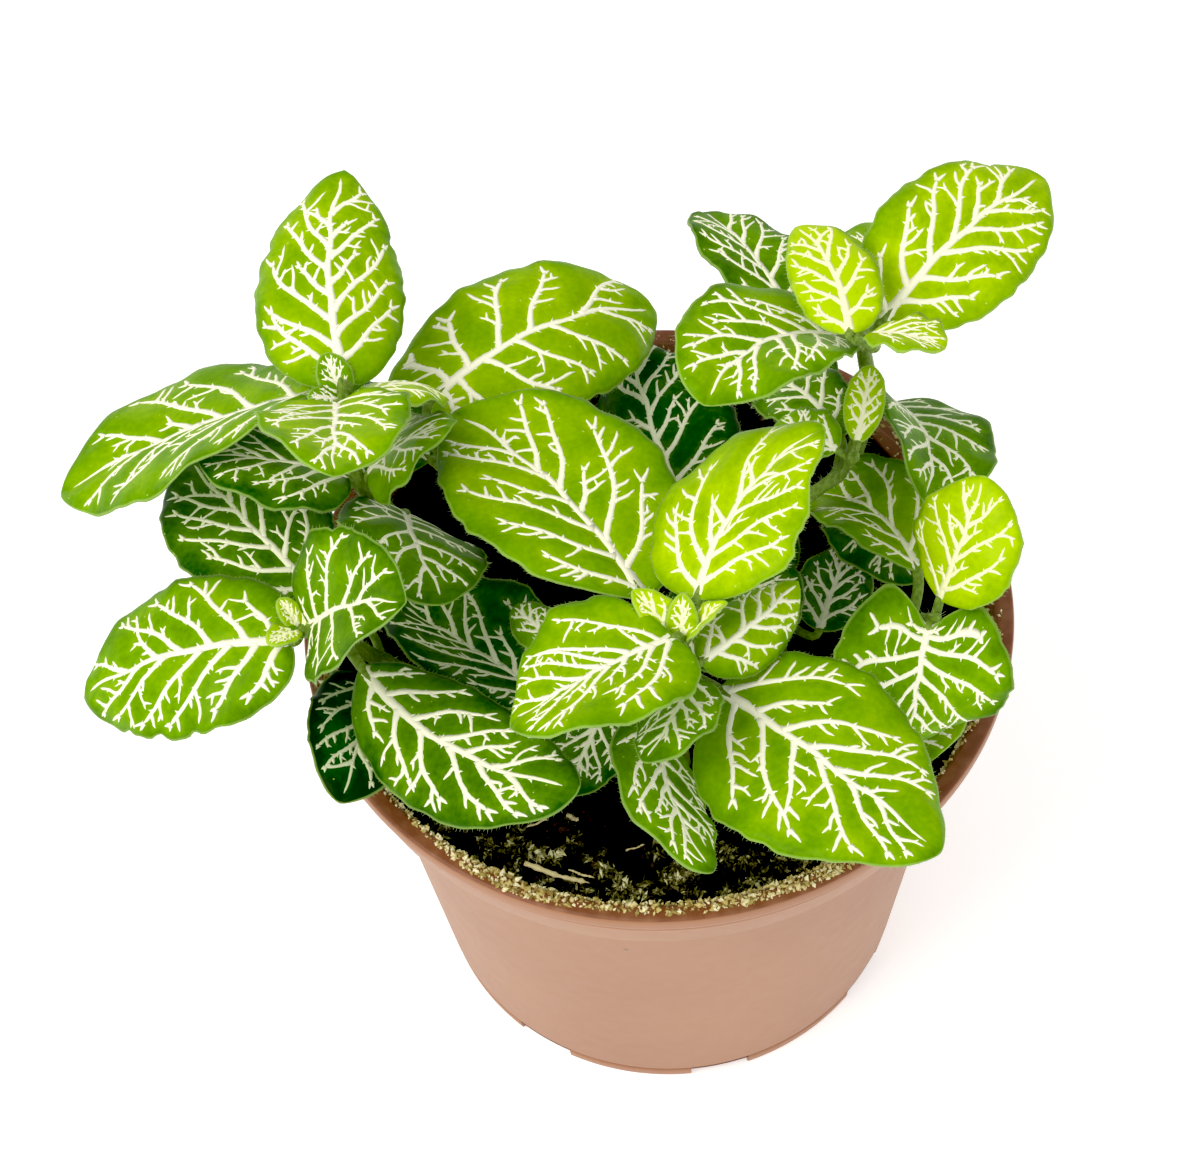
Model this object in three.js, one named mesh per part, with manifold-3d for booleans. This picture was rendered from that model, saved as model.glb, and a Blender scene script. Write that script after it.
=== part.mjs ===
// A nerve plant in its plastic nursery pot: nine soft leafy shoots in a 9 cm pot of dark peat.
//
// Millimetres, +Z up. The origin is the centre of the pot's flat underside, on the surface that
// the pot stands on. +X is to the right and +Y away from the side that the plant is seen from.
// The pot is turned round its axis. Each shoot is a soft stem with leaves in opposite pairs, and
// each leaf is one body, its stalk and its blade, drawn as one curved surface with a thickness.

import * as THREE from "three";
import { mergeVertices } from "three/addons/utils/BufferGeometryUtils.js";
import Module from "manifold-3d";

const wasm = await Module();
wasm.setup();

// Driving dimensions: the pot
const POT_HEIGHT = 70;
const RIM_RADIUS = 45;
const FOOT_RADIUS = 32.5;
const WALL = 1.2;
const FLOOR_THICKNESS = 1.5;
const LEDGE_HEIGHT = 2.6; // the wall steps out here, above the feet
const LEDGE_RADIUS = 32.9;
const WALL_TOP_RADIUS = 39.6; // outside of the wall, under the rim band
const BAND_HEIGHT = 9.4; // the wall steps out to this band round the rim, lip included
const BAND_RADIUS = { foot: 42.8, top: 44.3 };
const LIP_HEIGHT = 2;
const LIP_WIDTH = 2.4;
const CHANNEL = { inner: 18, outer: 27, height: 2.5 }; // raised ring of the underside
const FOOT_GAPS = { count: 8, first: -34.5, width: 7.5, height: 2.3 };
const DRAINS = { count: 8, first: -57, radius: 3, ring: 22.5, sides: 10 };
const EDGE = 0.4; // the corners of the lip and the foot are broken by this much
const POT_SIDES = 48;
const WALL_SLOPE = (WALL_TOP_RADIUS - LEDGE_RADIUS) / (POT_HEIGHT - BAND_HEIGHT - LEDGE_HEIGHT);

// Driving dimensions: the soil
const SOIL_LEVEL = 65;
const SOIL_CLEARANCE = 0.3;
const SOIL_BUMP = 0.7;
const SOIL_RINGS = 9;
const SOIL_SIDES = 40;

// Driving dimensions: stems and leaves
const STEM_RADIUS = { foot: 1.3, tip: 0.65 };
const STEM_DEPTH = 6; // how far a stem stands in the soil
const STEM_SIDES = 8;
const FIT_GAP = 0.3; // between a stalk and its stem, and between a stem and the peat
const BLADE_THICKNESS = 0.7;
const KEEL = 0.35; // the midrib stands this far out of a blade's underside
const STALK = { start: 0.5, width: 0.75, height: 0.6 }; // half sizes: round at the stem, then oval
const STALK_LIFT = 20; // degrees; a stalk leaves its stem at this lift or less
const RING_POINTS = 10; // round a stalk or a blade: five above and five below
const WAVE = { count: 3, height: 0.45 }; // the margin rises and falls by this much
const BLADE_RINGS = 8;
const MIDRIB_STEPS = 24;

const rad = THREE.MathUtils.degToRad;

// Each shoot: where it leaves the soil, its joints from the youngest down, the length of the bud
// above the youngest joint, and its leaves. A leaf is written
//   [joint, tone, [stalk, turn, lift], [length, width], heading, [rise, droop, sway],
//    [roll, twist], [fold, curl], [heel, point]]
// with lengths in millimetres and angles in degrees. The stalk leaves the joint at the compass
// turn (0 is +X, 90 is +Y) and lift. The blade sets out at its heading and rise, then sinks by
// droop and swings by sway towards its tip. Roll turns it about its midrib, and twist adds to
// that along it. Fold lifts both halves into a shallow V, and curl bends their margins down.
// Heel and point say how full the outline is at its base and at its tip: less is fuller. A last
// number, where there is one, is how far the two lobes of a heart-shaped base reach back.
const SHOOTS = [
  {
    name: "left_back",
    foot: [-24, 6],
    joints: [[-35.8, 6.2, 107], [-35.1, 2.4, 96], [-33, 5.5, 86]],
    bud: 3.5,
    leaves: [
      [0, "young", [2, 75, 45], [33.5, 21], 104, [16, 28, -25], [5, -8], [-3, 50], [0.49, 0.62]],
      [0, "full", [3.5, 155, 0], [37.5, 26], 170, [-24, 3, 25], [21, -26], [15, 25], [0.52, 0.69]],
      [0, "young", [3.5, -100, 50], [24, 18], -86, [44, 23, 0], [-3, -20], [21, 18], [0.55, 0.65]],
      [0, "young", [2, -15, 30], [14, 11.5], 39, [-8, 58, -1], [-28, 17], [5, 40], [0.55, 0.64]],
      [1, "full", [2, -165, 50], [18.5, 19], -176, [37, 37, -8], [20, 2], [13, 29], [0.53, 0.65]],
      [1, "full", [2, 0, 55], [14.5, 16], 8, [56, 33, -16], [-20, -21], [7, 36], [0.53, 0.66]],
      [2, "old", [6, -52, 40], [24, 18.5], -83, [46, 41, 17], [-26, 20], [12, 29], [0.53, 0.65]],
      [2, "old", [4, 128, 30], [20, 15], 125, [5, 30, 0], [0, 0], [10, 30], [0.55, 0.65]],
    ],
  },
  {
    name: "back",
    foot: [-22, 18],
    joints: [[-27.5, 13.2, 91.9], [-25, 15.5, 78]],
    bud: 2,
    leaves: [
      [0, "full", [3.5, 76, 27], [36.5, 23], 39, [16, 58, -11], [7, 14], [8, 35], [0.5, 0.6], 6.5],
      [1, "old", [4, 150, 30], [22, 16], 145, [8, 30, 0], [0, 0], [10, 30], [0.55, 0.65]],
      [1, "old", [4, -30, 30], [17, 13], -15, [8, 30, 0], [0, 0], [10, 30], [0.55, 0.65]],
    ],
  },
  {
    name: "left_front",
    foot: [-29, -8],
    joints: [[-41.7, -18, 95.2], [-38, -13.5, 86], [-34, -10, 75]],
    bud: 1,
    leaves: [
      [0, "young", [2.4, -114, 22], [30, 20.5], 177, [2, 52, 2], [-13, 0], [7, 35], [0.52, 0.67], 2],
      [0, "full", [2, -17, 45], [20.5, 19], -23, [60, 30, -10], [30, -16], [25, 12], [0.51, 0.71]],
      [1, "full", [6, 120, 35], [28, 19.5], 135, [17, 38, -13], [-1, -1], [12, 30], [0.56, 0.63]],
      [1, "old", [5, -60, 5], [36.5, 17], -61, [8, -12, 39], [10, -21], [6, 43], [0.6, 0.64]],
      [2, "old", [3.5, -110, 35], [22, 14], -90, [29, 34, -18], [-13, 0], [18, 24], [0.54, 0.66]],
      [2, "old", [4, 115, 30], [16, 12], 128, [8, 30, 0], [0, 0], [10, 30], [0.55, 0.65]],
    ],
  },
  {
    name: "front_low",
    foot: [-9, -16],
    joints: [[-10.5, -18, 85], [-10.5, -17.5, 75]],
    bud: 2,
    leaves: [
      [0, "full", [2.5, 135, 30], [9, 6], 127, [15, 40, 3], [-12, -5], [8, 36], [0.54, 0.65]],
      [1, "old", [3, 175, 20], [24.5, 20.5], 148, [18, 33, -11], [12, 2], [28, 9], [0.53, 0.65]],
      [1, "old", [4, -20, 20], [12, 10], -115, [-5, 15, 0], [0, 0], [10, 30], [0.55, 0.65]],
    ],
  },
  {
    name: "front",
    foot: [2, -20],
    joints: [[2.5, -28.5, 104.5], [3, -28.5, 100], [2.5, -25, 94], [1.5, -24, 85]],
    bud: 3,
    leaves: [
      [0, "young", [3, -140, 70], [22, 21.5], -143, [27, 56, -16], [17, 28], [17, 21], [0.52, 0.65]],
      [0, "young", [5.5, 65, 30], [25, 21.5], 75, [24, 3, -56], [-25, -6], [12, 29], [0.51, 0.66]],
      [1, "full", [3, -30, 55], [17.5, 11], 33, [3, 24, 26], [16, 5], [-7, 56], [0.51, 0.67]],
      [1, "full", [3.5, -80, 30], [14, 10.5], -106, [30, 34, -17], [27, 7], [7, 37], [0.54, 0.66]],
      [2, "full", [5.5, -40, 10], [33.5, 25.5], -49, [19, 31, 7], [0, -33], [8, 33], [0.47, 0.67]],
      [2, "full", [9.5, 120, 30], [37, 27], 117, [7, 18, 21], [10, -19], [17, 22], [0.57, 0.69]],
      [3, "full", [4, -125, 30], [24.5, 13.5], -96, [22, 27, 37], [-39, -1], [9, 37], [0.56, 0.63]],
      [3, "old", [5, 55, 20], [22, 16], 60, [5, 25, 0], [0, 0], [10, 30], [0.55, 0.65]],
    ],
  },
  {
    name: "middle",
    foot: [4, 1],
    joints: [[4, 4, 75]],
    bud: 2,
    leaves: [
      [0, "old", [7, 95, 35], [26.5, 23], 110, [14, 23, -17], [-20, 5], [-6, 45], [0.48, 0.69]],
      [0, "old", [5, -85, 25], [17, 14], -60, [5, 25, 0], [0, 0], [10, 30], [0.55, 0.65]],
    ],
  },
  {
    name: "right_back",
    foot: [24, 16],
    joints: [[24.5, 3, 118.5], [26.5, 7.5, 111.5], [26.5, 18, 99], [28, 21.5, 81], [25.5, 18, 73]],
    bud: 2.5,
    leaves: [
      [0, "young", [2, -165, 45], [19.5, 10.5], 92, [13, 39, 27], [-4, -2], [9, 35], [0.46, 0.65]],
      [0, "young", [2, -30, 50], [9.5, 10], -27, [34, 38, -6], [-24, 3], [18, 23], [0.55, 0.64]],
      [1, "full", [2.7, 68, 26], [32, 19], 47, [22, 48, -3], [16, -7], [9, 35], [0.55, 0.65]],
      [1, "full", [3.9, 171, 9], [26, 18.5], -162, [43, 43, 49], [4, -26], [22, 17], [0.56, 0.62]],
      [2, "full", [9.8, 176, 27], [22, 14], 113, [17, 42, 11], [21, 12], [17, 24], [0.54, 0.66]],
      [3, "full", [4, -31, 43], [26, 18], -61, [37, 27, -47], [-31, 8], [26, 12], [0.55, 0.66]],
      [2, "full", [5, 70, 20], [18, 13], 85, [0, 30, 0], [0, 0], [10, 30], [0.55, 0.65]],
      [3, "old", [5, 150, 20], [15, 12], 150, [5, 30, 0], [0, 0], [10, 30], [0.55, 0.65]],
      [4, "old", [5, -80, 40], [21, 15], -75, [22, 20, 0], [0, 0], [10, 30], [0.55, 0.65]],
    ],
  },
  {
    name: "right_inner",
    foot: [15, -4],
    joints: [[24, 2, 97], [22.5, 3.5, 91.5], [16.5, 1.5, 86], [15, -4, 72]],
    bud: 2,
    leaves: [
      [0, "young", [2, 65, 25], [11.5, 5], 76, [20, 32, 3], [3, 2], [15, 27], [0.55, 0.64]],
      [0, "young", [2, 160, 25], [9.5, 7.5], 142, [13, 47, -10], [-4, -3], [14, 28], [0.56, 0.63]],
      [1, "old", [4.7, 82, 29], [21, 11], 110, [4, 62, 26], [-3, -6], [11, 33], [0.55, 0.65]],
      [3, "old", [7, -40, 25], [14, 10], 70, [8, 20, 0], [0, 0], [10, 30], [0.55, 0.65]],
      [3, "old", [4, 120, 25], [14, 11], 92, [8, 25, 0], [0, 0], [10, 30], [0.55, 0.65]],
    ],
  },
  {
    name: "right_front",
    foot: [26, -11],
    joints: [[32.3, -17.6, 91.2], [30.5, -13, 83], [28.5, -14, 73]],
    bud: 2.5,
    leaves: [
      [0, "young", [2.7, 57, 58], [16, 15], 50, [65, 34, 17], [-14, 9], [8, 34], [0.54, 0.67]],
      [0, "full", [2.2, -114, 23], [16, 22.5], -107, [-13, 78, 4], [-24, -35], [17, 15], [0.56, 0.63], 6.5],
      [1, "full", [6.5, 80, 30], [21.5, 15], 104, [7, 47, 42], [-1, -17], [28, 10], [0.56, 0.64]],
      [2, "old", [3, -75, 10], [12.5, 16.5], -87, [23, 17, 16], [9, 10], [16, 25], [0.55, 0.65]],
    ],
  },
];

// Materials
const material = (color, roughness) => new THREE.MeshStandardMaterial({ color, roughness, metalness: 0 });
const POT_PLASTIC = material("#c4967a", 0.45);
const PEAT = material("#1d1512", 0.95);
const STEM_GREEN = material("#7f9a3c", 0.6);
const LEAF_TONES = {
  young: material("#93bf1a", 0.5),
  full: material("#5b9a1c", 0.5),
  old: material("#2f6b22", 0.5),
};

// A solid through a row of rings. The rings have equal counts of points and run clockwise as seen
// from the far end. An end is a flat cap, or a single point where the last ring is one.
// sideOf(k) gives 1 where the quad after point k is cut by one diagonal and -1 by the other.
function loft(rings, sideOf = () => 1) {
  const count = rings[0].length;
  const pointed = rings[rings.length - 1].length === 1;
  const full = pointed ? rings.length - 1 : rings.length;
  const positions = rings.flat().flatMap((p) => [p.x, p.y, p.z]);
  const at = (ring, k) => ring * count + (k % count);
  const faces = [];
  for (let k = 1; k < count - 1; k += 1) {
    faces.push(at(0, 0), at(0, k), at(0, k + 1));
  }
  for (let ring = 0; ring < full - 1; ring += 1) {
    for (let k = 0; k < count; k += 1) {
      const [a, b] = [at(ring, k), at(ring, k + 1)];
      const [c, d] = [at(ring + 1, k), at(ring + 1, k + 1)];
      faces.push(...(sideOf(k) > 0 ? [a, c, d, a, d, b] : [a, c, b, b, c, d]));
    }
  }
  const last = full - 1;
  for (let k = 0; k < count; k += 1) {
    if (pointed) {
      faces.push(at(last, k), full * count, at(last, k + 1));
    } else if (k > 0 && k < count - 1) {
      faces.push(at(last, 0), at(last, k + 1), at(last, k));
    }
  }
  const geometry = new THREE.BufferGeometry();
  geometry.setAttribute("position", new THREE.Float32BufferAttribute(positions, 3));
  geometry.setIndex(faces);
  return geometry;
}

// A closed geometry as a solid that can be joined and cut, and back
function solid(geometry) {
  const bare = geometry.clone();
  bare.deleteAttribute("normal");
  bare.deleteAttribute("uv");
  const merged = mergeVertices(bare, 1e-4);
  return new wasm.Manifold(
    new wasm.Mesh({
      numProp: 3,
      vertProperties: merged.attributes.position.array,
      triVerts: new Uint32Array(merged.index.array),
    }),
  );
}

function geometryOf(body) {
  const { vertProperties, triVerts } = body.getMesh();
  const geometry = new THREE.BufferGeometry();
  geometry.setAttribute("position", new THREE.BufferAttribute(vertProperties, 3));
  geometry.setIndex(new THREE.BufferAttribute(triVerts, 1));
  return geometry;
}

function mesh(name, geometry, look) {
  const made = new THREE.Mesh(geometry, look);
  made.name = name;
  return made;
}

// Directions by compass turn and lift, in degrees
const heading = (turn, lift) =>
  new THREE.Vector3(
    Math.cos(rad(turn)) * Math.cos(rad(lift)),
    Math.sin(rad(turn)) * Math.cos(rad(lift)),
    Math.sin(rad(lift)),
  );

// A blade's own directions at the share u of its length: along the midrib, to its left, and up
// out of its face, turned about the midrib by roll and twist
function bladeFrame(leaf, u) {
  const along = heading(leaf.heading + leaf.sway * u, leaf.rise - leaf.droop * u);
  const level = heading(leaf.heading + leaf.sway * u + 90, 0);
  const roll = rad(leaf.roll + leaf.twist * (u - 0.5));
  const left = level.clone().applyAxisAngle(along, roll);
  return { along, left, up: along.clone().cross(left) };
}

function midribPoint(leaf, u) {
  const point = leaf.base.clone();
  const step = u / MIDRIB_STEPS;
  for (let i = 0; i < MIDRIB_STEPS; i += 1) {
    point.addScaledVector(bladeFrame(leaf, (i + 0.5) * step).along, leaf.length * step);
  }
  return point;
}

// Half of the blade's width at u: u^heel (1 - u)^point, scaled to half the width at its widest
function halfWidth(leaf, u) {
  const widest = leaf.heel / (leaf.heel + leaf.point);
  const full = widest ** leaf.heel * (1 - widest) ** leaf.point;
  return ((leaf.width / 2) * u ** leaf.heel * (1 - u) ** leaf.point) / full;
}

// A point of the blade and the direction out of its face there. v runs from -1 at the right margin
// to 1 at the left. Each half is an arc that starts at the fold's slope and bends down by curl.
function bladePoint(leaf, u, v) {
  const { along, left, up } = bladeFrame(leaf, u);
  const [fold, curl] = [rad(leaf.fold), rad(leaf.curl)];
  const slope = fold - curl * Math.abs(v);
  const half = halfWidth(leaf, u);
  const across = (Math.sign(v) * half * (Math.sin(fold) - Math.sin(slope))) / curl;
  const wave = WAVE.height * Math.abs(v) ** 3 * Math.sin(2 * Math.PI * WAVE.count * u + v);
  const height = (half * (Math.cos(slope) - Math.cos(fold))) / curl + wave * Math.min(1, half / 5);
  const back = leaf.lobe * v ** 2 * (1 - u) ** 3 * Math.min(1, (4 * half) / leaf.width);
  const point = midribPoint(leaf, u)
    .addScaledVector(left, across)
    .addScaledVector(up, height)
    .addScaledVector(along, -back);
  const tilt = v === 0 ? 0 : slope;
  const out = up
    .clone()
    .multiplyScalar(Math.cos(tilt))
    .addScaledVector(left, -Math.sign(v) * Math.sin(tilt));
  return { point, out };
}

// The points round a stalk, in the order of a blade's ring
function stalkRing(centre, along, left, width, height) {
  const side = left.clone().addScaledVector(along, -left.dot(along)).normalize();
  const up = along.clone().cross(side);
  const turn = 360 / RING_POINTS;
  return Array.from({ length: RING_POINTS }, (_, k) => {
    const angle = rad(180 - turn * (k + 0.5));
    return centre
      .clone()
      .addScaledVector(side, width * Math.cos(angle))
      .addScaledVector(up, height * Math.sin(angle));
  });
}

function bladeRing(leaf, u) {
  const top = [];
  const under = [];
  for (const v of [-1, -0.5, 0, 0.5, 1]) {
    const { point, out } = bladePoint(leaf, u, v);
    top.push(point.clone().addScaledVector(out, BLADE_THICKNESS / 2));
    under.unshift(point.clone().addScaledVector(out, -BLADE_THICKNESS / 2 - (v === 0 ? KEEL : 0)));
  }
  return [...top, ...under];
}

// One leaf: a stalk that bends from its joint into the blade's heading, then the blade to its tip
function leafGeometry(leaf) {
  const { along, left } = bladeFrame(leaf, 0);
  const out = heading(leaf.turn, Math.min(leaf.lift, STALK_LIFT));
  const sideways = heading(leaf.turn, 0);
  const slant = sideways.clone().cross(leaf.stemAlong).length();
  const clear = leaf.stemRadius + FIT_GAP + STALK.start * Math.sin(rad(STALK_LIFT));
  const start = leaf.joint.clone().addScaledVector(sideways, clear / slant);
  const reach = start.distanceTo(leaf.base);
  const rings = [];
  for (const w of [0, 0.5, 1]) {
    const centre = start
      .clone()
      .multiplyScalar(2 * w ** 3 - 3 * w ** 2 + 1)
      .addScaledVector(leaf.base, 3 * w ** 2 - 2 * w ** 3)
      .addScaledVector(out, reach * (w ** 3 - 2 * w ** 2 + w))
      .addScaledVector(along, reach * (w ** 3 - w ** 2));
    const width = THREE.MathUtils.lerp(STALK.start, STALK.width, w);
    const height = THREE.MathUtils.lerp(STALK.start, STALK.height, w);
    rings.push(stalkRing(centre, out.clone().lerp(along, w).normalize(), left, width, height));
  }
  for (let i = 1; i <= BLADE_RINGS; i += 1) {
    rings.push(bladeRing(leaf, (1 - Math.cos((Math.PI * i) / (BLADE_RINGS + 1))) / 2));
  }
  rings.push([midribPoint(leaf, 1)]);
  // The cuts between the faces run outwards and forwards from the midrib, alike above and below.
  return loft(rings, (k) => (k === 2 || k === 3 || k === 7 || k === 8 ? 1 : -1));
}

function readLeaf(row, shoot) {
  const [joint, tone, stalk, size, turnedTo, course, turning, section, outline, lobe = 0] = row;
  const [reach, turn, lift] = stalk;
  const centre = new THREE.Vector3(...shoot.joints[joint]);
  return {
    tone,
    turn,
    lift,
    joint: centre,
    stemRadius: stemRadius(shoot, centre.z),
    stemAlong: stemCurve(shoot).getTangent(1 - joint / (shoot.joints.length + 1)),
    base: centre.clone().addScaledVector(heading(turn, lift), reach),
    length: size[0],
    width: size[1],
    heading: turnedTo,
    rise: course[0],
    droop: course[1],
    sway: course[2],
    roll: turning[0],
    twist: turning[1],
    fold: section[0],
    curl: section[1],
    heel: outline[0],
    point: outline[1],
    lobe,
  };
}

// Stems thin towards their tips.
function stemRadius(shoot, z) {
  const share = (z - SOIL_LEVEL) / (shoot.joints[0][2] - SOIL_LEVEL);
  return THREE.MathUtils.lerp(STEM_RADIUS.foot, STEM_RADIUS.tip, THREE.MathUtils.clamp(share, 0, 1));
}

// The smooth line of a stem, from below the soil through its joints to the foot of its bud
function stemCurve(shoot) {
  const [x, y] = shoot.foot;
  const upwards = [...shoot.joints].reverse().map((joint) => new THREE.Vector3(...joint));
  const foot = new THREE.Vector3(x, y, SOIL_LEVEL);
  return new THREE.CatmullRomCurve3(
    [new THREE.Vector3(x, y, SOIL_LEVEL - STEM_DEPTH), foot, ...upwards],
    false,
    "centripetal",
  );
}

function stemGeometry(shoot, grow = 0) {
  const curve = stemCurve(shoot);
  const steps = 2 * (shoot.joints.length + 1) + 1;
  const rings = [];
  for (let i = 0; i <= steps; i += 1) {
    const centre = curve.getPoint(i / steps);
    const along = curve.getTangent(i / steps);
    const side = new THREE.Vector3(0, 1, 0).cross(along).normalize();
    const up = along.clone().cross(side);
    const radius = stemRadius(shoot, centre.z) + grow;
    if (i === 0) centre.z -= grow;
    rings.push(
      Array.from({ length: STEM_SIDES }, (_, k) => {
        const angle = (-2 * Math.PI * k) / STEM_SIDES;
        return centre
          .clone()
          .addScaledVector(side, radius * Math.cos(angle))
          .addScaledVector(up, radius * Math.sin(angle));
      }),
    );
  }
  const tip = curve.getPoint(1).addScaledVector(curve.getTangent(1), shoot.bud + grow);
  rings.push([tip]);
  return loft(rings);
}

// Inside of the pot's wall at a height, below the rim band
const innerWall = (z) => LEDGE_RADIUS + WALL_SLOPE * (z - LEDGE_HEIGHT) - WALL;

// The pot: one turned wall with a stepped band round its rim, standing on a ring of feet
function potGeometry() {
  const top = POT_HEIGHT;
  const bandFoot = top - BAND_HEIGHT;
  const lipFoot = top - LIP_HEIGHT;
  const floorTop = CHANNEL.height + FLOOR_THICKNESS;
  const profile = [
    [0, 0],
    [CHANNEL.inner, 0],
    [CHANNEL.inner + 0.5, CHANNEL.height],
    [CHANNEL.outer - 0.5, CHANNEL.height],
    [CHANNEL.outer, 0],
    [FOOT_RADIUS - EDGE, 0],
    [FOOT_RADIUS, EDGE],
    [FOOT_RADIUS + 0.1, LEDGE_HEIGHT - 0.2],
    [LEDGE_RADIUS, LEDGE_HEIGHT],
    [WALL_TOP_RADIUS, bandFoot],
    [BAND_RADIUS.foot - 0.3, bandFoot],
    [BAND_RADIUS.foot, bandFoot + 0.3],
    [BAND_RADIUS.top, lipFoot - 0.8],
    [BAND_RADIUS.top - 0.2, lipFoot - 0.3],
    [RIM_RADIUS, lipFoot],
    [RIM_RADIUS, top - EDGE],
    [RIM_RADIUS - EDGE, top],
    [RIM_RADIUS - LIP_WIDTH, top],
    [RIM_RADIUS - LIP_WIDTH - 0.3, top - EDGE],
    [BAND_RADIUS.foot - WALL, bandFoot + WALL],
    [WALL_TOP_RADIUS - WALL, bandFoot + WALL - 0.3],
    [innerWall(floorTop), floorTop],
    [CHANNEL.inner - 1, floorTop],
    [CHANNEL.inner - 1.4, FLOOR_THICKNESS],
    [0, FLOOR_THICKNESS],
  ];
  const turned = new THREE.LatheGeometry(
    profile.map(([r, z]) => new THREE.Vector2(r, z)),
    POT_SIDES,
  ).rotateX(Math.PI / 2);
  let body = solid(turned);
  for (let i = 0; i < FOOT_GAPS.count; i += 1) {
    const turn = rad(FOOT_GAPS.first + (360 / FOOT_GAPS.count) * i);
    const length = FOOT_RADIUS - CHANNEL.outer + 4; // 2 past the ring of feet on either side
    const gap = new THREE.BoxGeometry(length, FOOT_GAPS.width, 2 * FOOT_GAPS.height);
    gap.translate((FOOT_RADIUS + CHANNEL.outer) / 2, 0, 0).rotateZ(turn);
    body = body.subtract(solid(gap));
  }
  for (let i = 0; i < DRAINS.count; i += 1) {
    const turn = rad(DRAINS.first + (360 / DRAINS.count) * i);
    const length = 2 * FLOOR_THICKNESS + 1;
    const drain = new THREE.CylinderGeometry(DRAINS.radius, DRAINS.radius, length, DRAINS.sides);
    drain.rotateX(Math.PI / 2).translate(DRAINS.ring, 0, CHANNEL.height + 1).rotateZ(turn);
    body = body.subtract(solid(drain));
  }
  return geometryOf(body);
}

// How far the peat's surface stands above its mean level, from slow bumps in both directions
function soilBump(x, y) {
  const broad = Math.sin(x / 4.3 + 1) * Math.cos(y / 5.1);
  const fine = 0.6 * Math.sin(x / 2.3 - y / 2.9);
  return SOIL_BUMP * (broad + fine);
}

// The root ball: it fills the pot up to its bumpy top, with a plain hole for each stem
function soilGeometry() {
  const floorTop = CHANNEL.height + FLOOR_THICKNESS;
  const shoulder = POT_HEIGHT - BAND_HEIGHT + WALL;
  const topRadius = BAND_RADIUS.foot - WALL - SOIL_CLEARANCE;
  const edgeZ = SOIL_LEVEL - 0.8; // the peat sinks a little towards the wall
  const profile = [
    [0, FLOOR_THICKNESS + SOIL_CLEARANCE],
    [CHANNEL.inner - 1.8, FLOOR_THICKNESS + SOIL_CLEARANCE],
    [CHANNEL.inner - 1.4, floorTop + SOIL_CLEARANCE],
    [innerWall(floorTop) - SOIL_CLEARANCE, floorTop + SOIL_CLEARANCE],
    [WALL_TOP_RADIUS - WALL - SOIL_CLEARANCE, shoulder],
    [WALL_TOP_RADIUS - WALL - SOIL_CLEARANCE, shoulder + SOIL_CLEARANCE],
    [topRadius, shoulder + SOIL_CLEARANCE],
  ];
  for (let i = SOIL_RINGS; i >= 0; i -= 1) {
    profile.push([(topRadius * i) / SOIL_RINGS, i === SOIL_RINGS ? edgeZ : SOIL_LEVEL]);
  }
  const ball = new THREE.LatheGeometry(
    profile.map(([r, z]) => new THREE.Vector2(r, z)),
    SOIL_SIDES,
  ).rotateX(Math.PI / 2);
  const place = ball.attributes.position;
  for (let i = 0; i < place.count; i += 1) {
    const [x, y, z] = [place.getX(i), place.getY(i), place.getZ(i)];
    if (z > edgeZ - 0.5) place.setZ(i, z + soilBump(x, y));
  }
  let body = solid(ball);
  for (const shoot of SHOOTS) body = body.subtract(solid(stemGeometry(shoot, FIT_GAP)));
  return geometryOf(body);
}

// The whole plant in its pot
const plant = new THREE.Group();
plant.add(mesh("pot", potGeometry(), POT_PLASTIC));
plant.add(mesh("soil", soilGeometry(), PEAT));
for (const shoot of SHOOTS) {
  const branch = new THREE.Group();
  branch.add(mesh(`stem_${shoot.name}`, stemGeometry(shoot), STEM_GREEN));
  shoot.leaves.forEach((row, i) => {
    const leaf = readLeaf(row, shoot);
    branch.add(mesh(`leaf_${shoot.name}_${i + 1}`, leafGeometry(leaf), LEAF_TONES[leaf.tone]));
  });
  plant.add(branch);
}

export default plant;
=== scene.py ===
# %% [markdown]
# # A nerve plant in its nursery pot
#
# The plant is a small nerve plant: soft stems, leaves in opposite pairs, and a net of cream-white
# veins on every green blade. It grows in dark peat in a thin plastic pot, 9 cm across the rim.
#
# A measured model of the pot, the soil, each stem and each leaf comes in as the frame. Those solids
# are plain, so this script puts a finer piece in the place of each one and gives it its finish.
# Everything is worked out in millimetres, because that is how such a plant is measured, and turned
# to metres only when a mesh is made.

# %% The measured model
import math

import bmesh
import bpy
import numpy as np
from mathutils import Matrix, Vector


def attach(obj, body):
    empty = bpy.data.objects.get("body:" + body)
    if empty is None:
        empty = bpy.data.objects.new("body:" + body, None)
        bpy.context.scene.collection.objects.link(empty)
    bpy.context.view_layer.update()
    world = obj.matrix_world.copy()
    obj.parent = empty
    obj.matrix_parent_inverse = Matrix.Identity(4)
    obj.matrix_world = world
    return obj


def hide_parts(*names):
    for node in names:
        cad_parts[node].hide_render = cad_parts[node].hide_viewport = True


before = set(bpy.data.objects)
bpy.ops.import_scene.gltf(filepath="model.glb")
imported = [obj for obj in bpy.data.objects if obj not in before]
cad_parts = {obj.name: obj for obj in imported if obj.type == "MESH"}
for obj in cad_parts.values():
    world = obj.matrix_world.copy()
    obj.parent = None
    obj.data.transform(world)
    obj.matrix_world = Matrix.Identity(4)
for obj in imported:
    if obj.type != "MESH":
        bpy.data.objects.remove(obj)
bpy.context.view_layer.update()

MM = 0.001

# %% [markdown]
# ## The camera
#
# The photograph looks down on the plant from the front. The ellipses of the pot's rim and foot
# give the height of the eye, and the pot's taper gives how far away it is. The lens is long for the
# 36 mm sensor, so the near leaves aren't drawn much larger than the far ones.

# %% The camera
EYE_MM = (0, -210.4, 387.1)
LOOKS_UP_FROM_STRAIGHT_DOWN = 34.14  # degrees
TURNED_LEFT = 1.91
ROLLED = -4.12


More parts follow.
